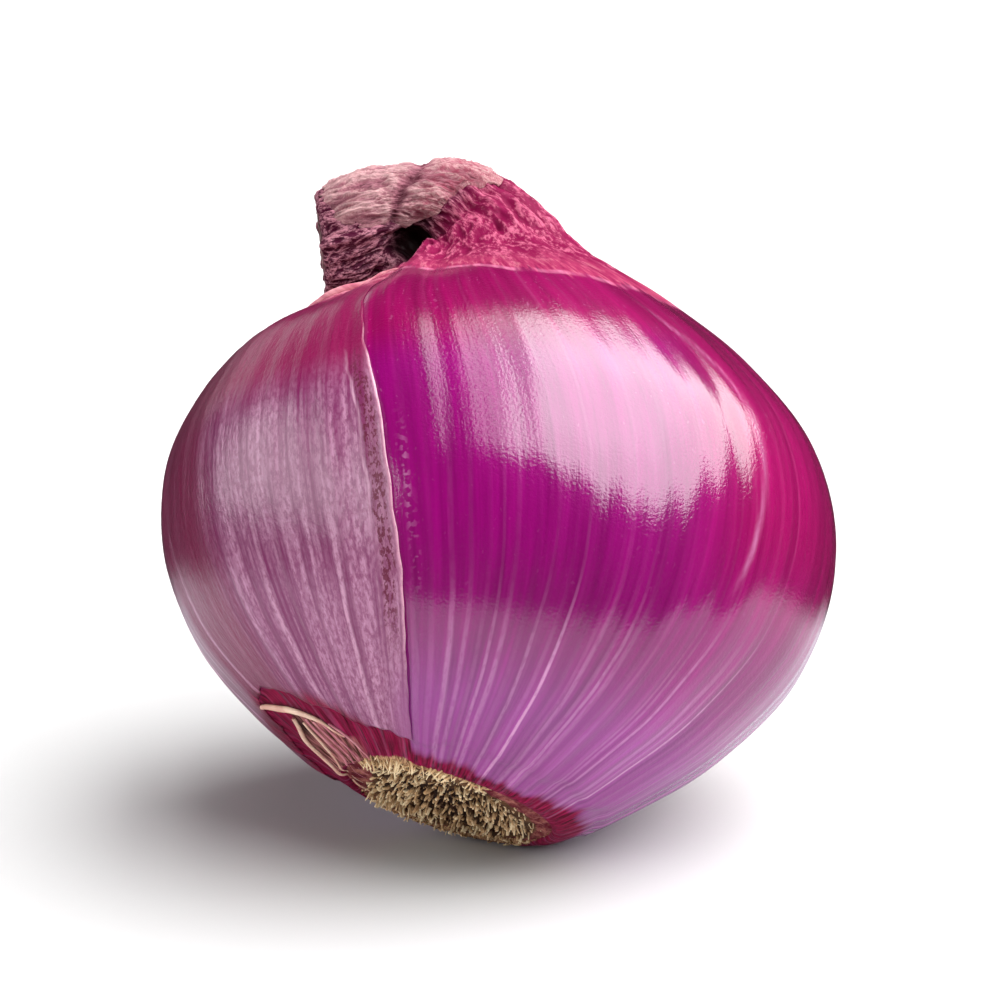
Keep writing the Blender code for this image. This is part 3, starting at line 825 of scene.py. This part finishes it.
def rim_line(rng):
    """Centre line of a stub on the lip of the skin, or None where there is no room for it."""
    angle = math.radians(rng.uniform(*RIM_SPAN))
    station = rng.uniform(*RIM_STATIONS)
    t, turn = station + np.array((-0.05, 0, 0.05)), np.full(3, angle)
    start = skin_points(t, turn)
    up = outward(t, turn)[1]
    down = unit(start[0] - start[2])
    side = np.cross(up, down)
    heading = down * rng.uniform(0.2, 1.1) + up * rng.uniform(0.2, 0.9) + side * rng.uniform(-0.8, 0.8)
    bend = down * rng.uniform(-0.1, 0.4) + side * rng.uniform(-0.3, 0.3)
    length = rng.uniform(*RIM_LENGTHS) * (1 - 0.5 * low_side(angle, 2))
    line = bent_line(start[1], heading, bend, length, 0.2)
    return line if station < around(RIM_END, angle) and clears_floor(line) else None


def root_lines(rng):
    """Centre line, thickness and shade of every root and stub, thinned out in clumps."""
    for radius, angle, splay, length, thickness in root_places(rng):
        line = root_line(rng, radius, angle, splay, length)
        clump = noise.noise(Vector(line[1] * CLUMP_SCALE))
        low = low_side(angle, radius / 9)
        shade = 0.15 + 0.45 * radius / 10.5 + rng.uniform(-0.25, 0.3) + 0.9 * clump - 0.2 * low
        if clump > -0.32 + 0.3 * low:
            yield line, thickness, shade
    for _ in range(RIM_STUBS):
        line = rim_line(rng)
        shade = rng.uniform(0.45, 1.05)
        thickness = rng.uniform(*RIM_RADII)
        if line is not None and noise.noise(Vector(line[1] * CLUMP_SCALE)) > -0.25:
            yield line, thickness, shade


def root_tube(line, radius, rng):
    """Rings of points round one root, thinner and frayed to its tip."""
    axis = unit(line[-1] - line[0])
    helper = np.array((1, 0, 0)) if abs(axis[0]) < 0.7 else np.array((0, 1, 0))
    side = unit(np.cross(axis, helper))
    other = np.cross(axis, side)
    turns = np.arange(ROOT_SIDES)[:, None] * TURN / ROOT_SIDES
    flat = rng.uniform(0.55, 1)
    widths = radius * np.linspace(1.15, rng.uniform(0.35, 0.7), len(line))
    widths[1:-1] *= 1 + np.array([rng.uniform(-0.15, 0.15) for _ in widths[1:-1]])
    return line[:, None] + widths[:, None, None] * (np.cos(turns) * side + flat * np.sin(turns) * other)


def make_roots(material):
    """The stubble of dried roots and the fibres round the plate, in one piece."""
    rng = random.Random(ROOT_SEED)
    along = np.append(np.repeat(np.linspace(0, 1, ROOT_SECTIONS), ROOT_SIDES), (0, 1))
    points, faces, tones = [], [], []
    for line, thickness, shade in list(root_lines(rng)):
        rings = root_tube(line, thickness, rng)
        ends = np.stack((line[0], line[-1] + (line[-1] - line[-2]) * 0.25))
        start = len(points) * len(along)
        faces.extend(tuple(start + index for index in face) for face in tube_faces(ROOT_SECTIONS, ROOT_SIDES))
        points.append(place(np.concatenate((rings.reshape(-1, 3), ends))))
        tones.append(np.full(len(along), shade))
    obj = make_object("dried_roots", np.concatenate(points), faces, material)
    mark(obj, "tone", np.concatenate(tones))
    mark(obj, "tip", np.tile(along, len(points)))


# Parts of the "ring" attribute, whose first is the cosine of the angle
SINE = 1
STATION = 2


class Nodes:
    """A material's node tree, with short ways to add nodes and join them."""

    def __init__(self, name):
        self.material = bpy.data.materials.new(name)
        self.material.use_nodes = True
        self.tree = self.material.node_tree
        self.shader = self.tree.nodes["Principled BSDF"]

    def add(self, kind, inputs=(), **settings):
        node = self.tree.nodes.new("ShaderNode" + kind)
        for name, value in settings.items():
            setattr(node, name, value)
        for socket, value in inputs:
            self.put(node.inputs[socket], value)
        return node

    def put(self, socket, value):
        if isinstance(value, bpy.types.NodeSocket):
            self.tree.links.new(value, socket)
        elif socket.type == "RGBA":
            socket.default_value = (*value, 1)
        else:
            socket.default_value = value

    def set(self, **values):
        """Plain values or links for the shader's own sockets, named with underscores."""
        for name, value in values.items():
            self.put(self.shader.inputs[name.replace("_", " ")], value)

    def math(self, operation, *values):
        return self.add("Math", enumerate(values), operation=operation).outputs[0]

    def chain(self, operation, first, *others):
        for value in others:
            first = self.math(operation, first, value)
        return first

    def times(self, *values):
        return self.chain("MULTIPLY", *values)

    def plus(self, *values):
        return self.chain("ADD", *values)

    def most(self, *values):
        return self.chain("MAXIMUM", *values)

    def line(self, value, factor, offset):
        """A value times a factor, plus an offset."""
        return self.math("MULTIPLY_ADD", value, factor, offset)

    def remap(self, value, low, high, to_low=0, to_high=1):
        """A smooth step from one number at low to another at high."""
        inputs = enumerate((value, low, high, to_low, to_high))
        return self.add("MapRange", inputs, interpolation_type="SMOOTHSTEP").outputs["Result"]

    def mix(self, share, first, second):
        inputs = ((0, share), (6, first), (7, second))
        return self.add("Mix", inputs, data_type="RGBA").outputs[2]

    def shade(self, colour, factor):
        """A colour made darker or brighter by a number."""
        return self.add("VectorMath", ((0, colour), ("Scale", factor)), operation="SCALE").outputs[0]

    def attribute(self, name, output="Fac"):
        return self.add("Attribute", attribute_name=name).outputs[output]

    def part(self, vector, index):
        return self.add("SeparateXYZ", [(0, vector)]).outputs[index]

    def noise(self, vector, detail, roughness, scale=1):
        inputs = (("Vector", vector), ("Scale", scale), ("Detail", detail), ("Roughness", roughness))
        return self.add("TexNoise", inputs).outputs["Fac"]

    def grain(self, around_it, along_it, detail=2, roughness=0.5):
        """Noise on the skin, near 0.5, with how fine it is round the bulb and along it."""
        inputs = ((0, self.attribute("ring", "Vector")), (1, (around_it, around_it, along_it)))
        vector = self.add("VectorMath", inputs, operation="MULTIPLY").outputs[0]
        return self.noise(vector, detail, roughness)

    def specks(self, scale, detail, roughness):
        """Noise that is as fine in every direction."""
        return self.noise(self.add("TexCoord").outputs["Object"], detail, roughness, scale)

    def ring_part(self, index):
        return self.part(self.attribute("ring", "Vector"), index)

    def veins(self, width, share, fineness=1):
        """Lines along the veins, 1 on the vein: width in mm, share of the veins that are strong."""
        uv = self.add("UVMap", uv_map="veins").outputs[0]
        count = self.plus(self.times(self.part(uv, 0), fineness), self.line(self.grain(4, 0.5), 0.5, -0.25))
        cell = self.math("ROUND", count)
        away = self.math("ABSOLUTE", self.math("SUBTRACT", count, cell))
        away = self.times(away, self.times(self.attribute("vein_gap"), 1 / fineness))
        chance = self.add("TexWhiteNoise", [("W", cell)], noise_dimensions="1D").outputs["Value"]
        strength = self.remap(chance, 1 - share, 1, 0.15, 1)
        return self.times(self.remap(away, width, width * 0.25), strength)

    def bump(self, height, depth):
        """A bump of so many metres from a height between 0 and 1."""
        return self.add("Bump", (("Height", height), ("Distance", depth))).outputs[0]


# Colours of the glossy skin, of the neck and of the torn skin by the root plate
PURPLE = (0.205, 0.0006, 0.112)
MAGENTA = (0.215, 0.0006, 0.066)
# Lilac of the lower bulb: partly the skin's own colour, partly a painted reflection of the pale floor
LILAC_AND_SHEEN = (0.27, 0.03, 0.24)
CRIMSON = (0.17, 0.002, 0.03)
VEIN_PINK = (0.66, 0.3, 0.54)
NECK_RED = (0.175, 0.003, 0.044)
# Pale on the neck's ridges: partly the dry skin's own pale, partly painted highlight
NECK_PALE = (0.46, 0.1, 0.18)
NECK_BEIGE = (0.52, 0.19, 0.235)
FOOT_PINK = (0.29, 0.024, 0.082)
FOOT_LINE = (0.66, 0.2, 0.34)
# The folded end of the neck, painted dark as shade, with pale speckles on its ridges
LOBE_SHADE = (0.06, 0.005, 0.022)
LOBE_PALE = (0.42, 0.17, 0.22)
# Painted shade inside the tear; its pink streaks are the skin's own colour
TEAR_SHADE = (0.05, 0.018, 0.01)
TEAR_PINK = (0.42, 0.14, 0.15)
HUSK_BROWN = (0.16, 0.06, 0.03)
HUSK_STRAW = (0.6, 0.36, 0.2)
# Painted shade, near black, for the hollow under the folded neck, the inside of the neck and the slit by the
# tear
SHADE_BLACK = (0.01, 0.002, 0.003)
# Colours of the dry outer skin
OUTER_LOW = (0.15, 0.01, 0.078)
OUTER_HIGH = (0.2, 0.001, 0.056)
# Painted shade of the outer skin towards the back
OUTER_BACK_SHADE = (0.15, 0.006, 0.045)
# Pale fibres, partly a painted sheen
OUTER_PALE = (0.43, 0.195, 0.315)
OUTER_STROKE = (0.125, 0.008, 0.062)
OUTER_VEIN = (0.62, 0.34, 0.48)
OUTER_RIM = (0.66, 0.34, 0.44)
OUTER_CORNER = (0.33, 0.08, 0.25)
STRIP_RED = (0.15, 0.012, 0.055)
STRIP_SPECK = (0.095, 0.002, 0.02)
STRIP_LINE = (0.66, 0.38, 0.5)
TOP_RED = (0.26, 0.01, 0.06)
TOP_PINK = (0.6, 0.2, 0.28)
# Colours of the flap, the curled edges, the roots and the root plate
# Painted shade in the creases of the dry flap and deep in the neck; the pale is partly painted highlight on
# the ridges
FLAP_CREASE_SHADE = (0.13, 0.022, 0.045)
FLAP_MAUVE = (0.35, 0.125, 0.165)
FLAP_PALE = (0.6, 0.345, 0.355)
FLAP_RED = (0.3, 0.035, 0.075)
FLAP_RIM = (0.5, 0.27, 0.27)
TORN_PEACH = (0.7, 0.36, 0.28)
TORN_CREAM = (0.9, 0.66, 0.5)
STRAND_RED = (0.46, 0.1, 0.16)
STRAND_PINK = (0.74, 0.32, 0.36)
ROOT_DARK = (0.045, 0.016, 0.007)
ROOT_TAN = (0.62, 0.39, 0.2)
ROOT_STRAW = (0.92, 0.74, 0.47)
PLATE_DARK = (0.022, 0.008, 0.004)
PLATE_TAN = (0.28, 0.135, 0.06)
PLATE_RED = (0.12, 0.006, 0.018)
PLATE_PINK = (0.4, 0.14, 0.11)

# Depths of the bumps in metres
SKIN_BUMP = 0.00006
COAT_BUMP = 0.00004
FLAP_BUMP = 0.0004
TORN_BUMP = 0.00008
ROOT_BUMP = 0.0001
PLATE_BUMP = 0.0003


def neck_colour(n, t, foot):
    """A pale foot, a crimson cone whose ridges are pale, partly painted highlight, with painted shade in its
    creases, and the end of the neck painted darker as shade, speckled and pale on its ridges.
    """
    high = n.line(n.attribute("ridge"), 0.8, n.line(n.grain(42, 9, 3, 0.7), 1.7, -0.8))
    cone = n.mix(n.remap(high, 0.42, 0.95), NECK_RED, NECK_PALE)
    end = n.mix(n.remap(high, 0.35, 0.9), LOBE_SHADE, LOBE_PALE)
    colour = n.mix(n.remap(t, 14.3, 15), cone, end)
    soft = n.grain(34, 2.2, 4, 0.65)
    pink = n.mix(n.remap(soft, 0.3, 0.55), NECK_RED, FOOT_PINK)
    pink = n.mix(n.remap(soft, 0.5, 0.72, 0, 0.68), pink, NECK_BEIGE)
    fade = n.plus(foot, n.line(n.grain(14, 1.2, 3), 1.6, -0.8))
    return n.mix(n.remap(fade, 1, 0.2), colour, pink)


def crimson_colour(n):
    """The dark fibrous red of the skin round the root plate."""
    return n.shade(CRIMSON, n.line(n.grain(60, 2, 4), 4.4, -1.2))


def skin_material():
    """Glossy purple to magenta skin with pale veins, lilac towards the root plate, partly a painted
    reflection of the pale floor, and then crimson.
    """
    n = Nodes("onion_skin")
    t = n.ring_part(STATION)
    foot = n.attribute("foot")
    crimson = n.attribute("crimson")
    tear = n.attribute("tear")
    coarse = n.grain(9, 0.4)
    fine = n.grain(46, 0.6, 3)
    base = n.mix(n.attribute("warm"), PURPLE, MAGENTA)
    # Lilac towards the root plate: partly a painted reflection of the pale floor
    base = n.mix(n.remap(t, 6.6, 5.2, 0, 0.8), base, LILAC_AND_SHEEN)
    base = n.shade(base, n.line(fine, 0.8, 0.6))
    base = n.shade(base, n.line(coarse, 0.8, 0.6))
    base = n.mix(crimson, base, crimson_colour(n))
    strong = n.times(n.veins(0.3, 0.8), n.remap(t, 7.2, 5.8, 0.05, 0.8))
    weak = n.times(n.veins(0.42, 0.5, 1.9), n.remap(t, 7.2, 5.8, 0.03, 0.38))
    lines = n.times(n.most(strong, weak), n.line(crimson, -0.75, 1), n.line(coarse, 1.2, 0.3),
                    n.remap(n.grain(60, 7), 0.3, 0.55, 0.55, 1))
    base = n.mix(lines, base, VEIN_PINK)
    flecks = n.times(n.remap(n.grain(60, 12, 1), 0.7, 0.78), n.remap(t, 7.8, 9.4, 0.03, 0.12))
    dots = n.times(n.attribute("dots"), n.remap(n.grain(50, 15, 1), 0.5, 0.6), 0.32)
    pale_line = n.times(n.attribute("line"), n.remap(n.grain(30, 0.8), 0.35, 0.65, 0.1, 0.38))
    base = n.mix(n.most(flecks, pale_line, dots), base, VEIN_PINK)
    dry = n.remap(n.plus(foot, n.line(n.grain(40, 1.2, 3), 0.7, -0.35)), -0.04, 0.14)
    base = n.mix(dry, base, neck_colour(n, t, foot))
    border = n.remap(n.math("ABSOLUTE", n.plus(foot, -0.02)), 0.1, 0.02)
    border = n.times(border, n.remap(n.grain(14, 1), 0.38, 0.62, 0.05, 0.6),
                     n.remap(n.ring_part(SINE), 0.15, -0.25))
    base = n.mix(border, base, FOOT_LINE)
    # Inside the tear: painted shade, with pink streaks
    streaks = n.remap(n.grain(42, 1.4, 3), 0.4, 0.6)
    base = n.mix(tear, base, n.mix(streaks, TEAR_SHADE, TEAR_PINK))
    straw = n.mix(n.remap(n.grain(90, 3, 4), 0.38, 0.6), HUSK_BROWN, HUSK_STRAW)
    base = n.mix(n.attribute("husk"), base, straw)
    # Painted shade: the hollow under the fold, the inside of the neck and the slit over the torn edge go near
    # black
    dark = n.most(n.attribute("hollow"), n.attribute("slit"))
    base = n.mix(dark, base, SHADE_BLACK)
    ridges = n.plus(n.times(n.grain(28, 0.5), 0.8), n.times(n.grain(80, 0.8, 3), 0.5),
                    n.times(n.specks(3000, 2, 0.6), 0.75))
    matte = n.most(dry, crimson, tear, dark)
    n.set(Base_Color=base, Roughness=n.line(matte, 0.38, n.line(fine, 0.2, 0.25)), Specular_IOR_Level=0.06,
          Coat_Weight=n.line(matte, -0.95, 1), Coat_Roughness=0.1, Coat_IOR=1.7,
          Normal=n.bump(ridges, SKIN_BUMP), Coat_Normal=n.bump(ridges, COAT_BUMP))
    return n.material


def outer_material():
    """Thin dry skin: pale fibres on purple, partly a painted sheen, painted shade towards the back, brighter
    towards the bottom as a painted sheen, magenta on top, and a speckled strip along its front edge.
    """
    n = Nodes("dry_outer_skin")
    t = n.ring_part(STATION)
    foot = n.attribute("foot")
    gap = n.attribute("gap")
    back = n.attribute("back")
    crimson = n.attribute("crimson")
    fine = n.grain(62, 0.5, 4)
    speck = n.grain(75, 9, 3, 0.7)
    broad = n.grain(22, 0.35, 3)
    # Pale papery fibres, partly a painted sheen: they fade out at the top where the left panel's sheen ends,
    # and towards the back
    pale = n.plus(n.remap(fine, 0.36, 0.66, 0, 0.5), n.remap(broad, 0.38, 0.62, 0, 0.5))
    pale = n.times(pale, n.remap(speck, 0.36, 0.62, 0.3, 1), n.remap(t, 9.9, 9, 0.05, 1),
                   n.line(back, -0.8, 1))
    base = n.mix(n.remap(t, 9, 9.9), OUTER_LOW, OUTER_HIGH)
    # Painted shade: darker towards the back
    base = n.mix(back, base, OUTER_BACK_SHADE)
    base = n.mix(pale, base, OUTER_PALE)
    strokes = n.times(n.veins(0.55, 0.6, 1.4), n.remap(t, 8.6, 6.4, 0.05, 0.8),
                      n.remap(speck, 0.3, 0.6, 0.5, 1))
    base = n.mix(strokes, base, OUTER_STROKE)
    lines = n.times(n.veins(0.42, 0.8), n.remap(t, 8.8, 6.4, 0.05, 0.7),
                    n.remap(speck, 0.32, 0.58, 0.35, 1))
    base = n.mix(lines, base, OUTER_VEIN)
    from_edge = n.plus(gap, n.line(n.grain(0.5, 3), 1.2, -0.6))
    span = n.times(n.remap(t, 5.8, 6.8), n.remap(t, 9.9, 9.2))
    strip = n.times(n.remap(from_edge, 0.5, 0.9), n.remap(from_edge, 2.7, 2.3), span)
    spots = n.times(strip, n.remap(n.grain(95, 15, 2, 0.6), 0.49, 0.58))
    base = n.mix(n.times(strip, 0.3), base, STRIP_RED)
    base = n.mix(n.times(spots, 0.85), base, STRIP_SPECK)
    second = n.times(n.remap(from_edge, 2.6, 2.85), n.remap(from_edge, 3.2, 2.95),
                     n.remap(t, 7.2, 8.8, 0.15, 1), span, n.remap(fine, 0.38, 0.52, 0.3, 1), 0.65)
    base = n.mix(second, base, STRIP_LINE)
    base = n.mix(n.times(n.attribute("rim"), n.remap(speck, 0.3, 0.5, 0.5, 0.85)), base, OUTER_RIM)
    # Brighter towards the bottom: a painted sheen of the left panel and the pale floor
    base = n.shade(base, n.remap(t, 8.2, 6.4, 1, 1.22))
    corner = n.times(n.remap(gap, 3.4, 0.3, 0, 0.75), n.remap(t, 6.2, 5))
    base = n.mix(corner, base, OUTER_CORNER)
    base = n.mix(crimson, base, crimson_colour(n))
    top = n.mix(n.remap(n.grain(24, 4, 4, 0.65), 0.4, 0.62), TOP_RED, TOP_PINK)
    base = n.mix(n.remap(foot, -0.5, 0), base, top)
    ridges = n.plus(n.grain(40, 0.5, 3), n.times(n.grain(110, 1, 3), 0.6), n.times(speck, 1.6))
    coat = n.times(n.remap(t, 9.2, 9.9, 0.55, 0.42), n.remap(foot, -0.2, -0.6), n.line(crimson, -0.8, 1),
                   n.line(strip, -0.6, 1))
    n.set(Base_Color=base, Roughness=n.line(spots, 0.5, n.line(fine, 0.25, 0.22)), Specular_IOR_Level=0.35,
          Coat_Weight=coat, Coat_Roughness=0.17, Coat_IOR=1.6,
          Normal=n.bump(ridges, SKIN_BUMP), Coat_Normal=n.bump(ridges, COAT_BUMP))
    return n.material


def flap_material():
    """Matte beige and mauve dry skin, redder near the cone of the neck, paler on its ridges as painted
    highlight and darker in its creases and deep in the neck as painted shade.
    """
    n = Nodes("dry_flap")
    fine = n.grain(34, 1.6, 4)
    speck = n.grain(34, 9, 4, 0.7)
    # The ridge mask paints highlight on ridges, and shade in creases and deep in the neck
    high = n.plus(n.attribute("ridge"), n.line(speck, 1.3, -0.65))
    base = n.mix(n.remap(high, -0.2, 0.3), FLAP_CREASE_SHADE, FLAP_MAUVE)
    base = n.mix(n.remap(high, 0.25, 0.85), base, FLAP_PALE)
    red = n.times(n.remap(n.ring_part(STATION), 15.75, 15.1), n.remap(speck, 0.38, 0.6, 0.75, 0.15))
    base = n.mix(red, base, FLAP_RED)
    base = n.shade(base, n.line(fine, 0.9, 0.55))
    base = n.mix(n.times(n.attribute("rim"), 0.35), base, FLAP_RIM)
    n.set(Base_Color=base, Roughness=0.8, Specular_IOR_Level=0.3,
          Normal=n.bump(n.plus(fine, speck), FLAP_BUMP))
    return n.material


def curl_material(name, around_it, along_it, low, high):
    """Thin curled skin, in soft patches of two colours."""
    n = Nodes(name)
    soft = n.grain(around_it, along_it, 3, 0.6)
    n.set(Base_Color=n.mix(n.remap(soft, 0.3, 0.7), low, high), Roughness=0.5, Normal=n.bump(soft, TORN_BUMP))
    return n.material


def root_material():
    """Dry fibrous roots, dark in the middle of the plate and straw at their tips."""
    n = Nodes("dry_roots")
    speck = n.specks(1100, 4, 0.7)
    tone = n.plus(n.attribute("tone"), n.line(speck, 0.9, -0.45), n.line(n.attribute("tip"), 0.75, -0.35))
    base = n.mix(n.remap(tone, 0.1, 0.65), ROOT_DARK, ROOT_TAN)
    base = n.mix(n.remap(tone, 0.65, 1.05), base, ROOT_STRAW)
    n.set(Base_Color=base, Roughness=0.8, Specular_IOR_Level=0.2, Normal=n.bump(speck, ROOT_BUMP))
    return n.material


def plate_material():
    """The dark dry plate, reddish where no roots stand."""
    n = Nodes("root_plate")
    speck = n.specks(700, 5, 0.7)
    mottle = n.line(speck, 0.9, -0.45)
    tone = n.plus(n.times(n.attribute("tone"), 0.5), mottle)
    base = n.mix(n.remap(tone, 0.15, 0.8), PLATE_DARK, PLATE_TAN)
    red = n.mix(n.remap(speck, 0.4, 0.66), PLATE_RED, PLATE_PINK)
    base = n.mix(n.remap(n.plus(n.attribute("bare"), mottle), 0.15, 0.75), base, red)
    n.set(Base_Color=base, Roughness=0.85, Specular_IOR_Level=0.2, Normal=n.bump(speck, PLATE_BUMP))
    return n.material


def panel(name, azimuth, elevation, size, radiance, offset=(0, 0), distance=2.5):
    """A soft light panel that faces the onion from a direction round it.

    Size and offset are along the horizon and upwards, as shares of the distance.
    """
    light = bpy.data.lights.new(name, "AREA")
    light.shape = "RECTANGLE"
    light.size, light.size_y = size[0] * distance, size[1] * distance
    light.energy = radiance * math.pi * light.size * light.size_y
    obj = add_object(name, light)
    a, e = math.radians(azimuth), math.radians(elevation)
    direction = Vector((math.sin(a) * math.cos(e), -math.cos(a) * math.cos(e), math.sin(e)))
    along = Vector((math.cos(a), math.sin(a), 0))
    up = direction.cross(along)
    obj.location = (direction + along * offset[0] + up * offset[1]) * distance
    obj.rotation_mode = "QUATERNION"
    obj.rotation_quaternion = direction.to_track_quat("Z", "Y")
    return obj


def make_lights():
    """A broad window on the right with a brighter core, a panel on the left, and a weak fill."""
    panel("window_light", 90, 50, (2, 1.32), 5.4, (0, 0.05))
    core = panel("window_core", 90, 50, (1.15, 0.78), 0.9, (0.08, 0.2), 2.4)
    core.visible_diffuse = False
    panel("strip_light", 90, 50, (2.2, 0.28), 3, (0, 0.96))
    panel("left_light", -82, 28, (1.46, 0.72), 2.6, (0.05, -0.25))
    panel("rim_light", -152, 10, (0.42, 0.2), 1.2)
    sun = bpy.data.lights.new("fill_sun", "SUN")
    sun.energy = 0.5
    sun.angle = math.radians(60)
    add_object("fill_sun", sun).visible_glossy = False


def make_world():
    world = bpy.data.worlds.new("studio")
    world.use_nodes = True
    world.node_tree.nodes["Background"].inputs["Color"].default_value = (*DIM_GREY, 1)
    bpy.context.scene.world = world


def stage_sheet(name, corners, faces, height, material):
    """A flat stage object from its corners in metres."""
    mesh = bpy.data.meshes.new(name)
    mesh.from_pydata([(x, y, 0.0) for x, y in corners], [], faces)
    mesh.materials.append(material)
    obj = add_object(name, mesh)
    obj.location.z = height
    return obj


def make_card():
    """A white card on the floor that fades at its border, seen only in the gloss of the skin."""
    n = Nodes("white_card")
    n.set(Base_Color=n.mix(n.attribute("fade"), CARD_WHITE, DIM_GREY), Roughness=0.9, Specular_IOR_Level=0)
    line = np.array(CARD_OUTLINE, float)
    away = CARD_FADE * unit(line - line.mean(axis=0))
    count = len(line)
    faces = [tuple(range(count))]
    for index in range(count):
        after = (index + 1) % count
        faces.append((index, count + index, count + after, after))
    corners = np.concatenate((line - away, line + away)) * MM
    card = stage_sheet("white_card", corners.tolist(), faces, CARD_HEIGHT, n.material)
    mark(card, "fade", [0] * count + [1] * count)
    card.visible_camera = False
    card.visible_diffuse = False
    card.visible_shadow = False


def make_floor():
    """A pale floor, which the gloss doesn't mirror."""
    n = Nodes("pale_floor")
    n.set(Base_Color=FLOOR_GREY, Roughness=0.9, Specular_IOR_Level=0)
    corners = [(x * FLOOR_HALF, y * FLOOR_HALF) for x, y in ((-1, -1), (1, -1), (1, 1), (-1, 1))]
    floor = stage_sheet("floor", corners, [(0, 1, 2, 3)], FLOOR_HEIGHT, n.material)
    floor.visible_glossy = False


def make_camera():
    data = bpy.data.cameras.new("camera")
    data.lens = CAMERA_LENS
    data.sensor_width = SENSOR
    data.clip_start = 0.01
    obj = add_object("camera", data)
    distance = FRAME_WIDTH * CAMERA_LENS / SENSOR
    back = np.array((0, -math.cos(CAMERA_ELEVATION), math.sin(CAMERA_ELEVATION)))
    obj.location = Vector((TARGET + back * distance) * MM)
    obj.rotation_euler = (math.pi / 2 - CAMERA_ELEVATION, 0, 0)
    bpy.context.scene.camera = obj


def main():
    make_camera()
    make_world()
    make_lights()
    make_floor()
    make_card()
    make_bulb(skin_material())
    make_outer_skin(outer_material())
    dry = flap_material()
    make_flap(dry)
    make_neck_layers(dry)
    pale = curl_material("torn_skin", 8, 2, TORN_PEACH, TORN_CREAM)
    pink = curl_material("torn_strands", 12, 3, STRAND_RED, STRAND_PINK)
    for number, (radius, knots) in enumerate(TORN_EDGES, 1):
        make_roll(f"torn_edge_{number}", radius, knots, pale if number in PALE_TEARS else pink)
    make_roll("collar_lip", LIP_RADIUS, LIP_LINE, pink, LIP_TURNS, LIP_LIFT, LIP_PEAK)
    make_plate(plate_material())
    make_roots(root_material())
    bpy.context.scene.view_settings.view_transform = "Standard"


main()
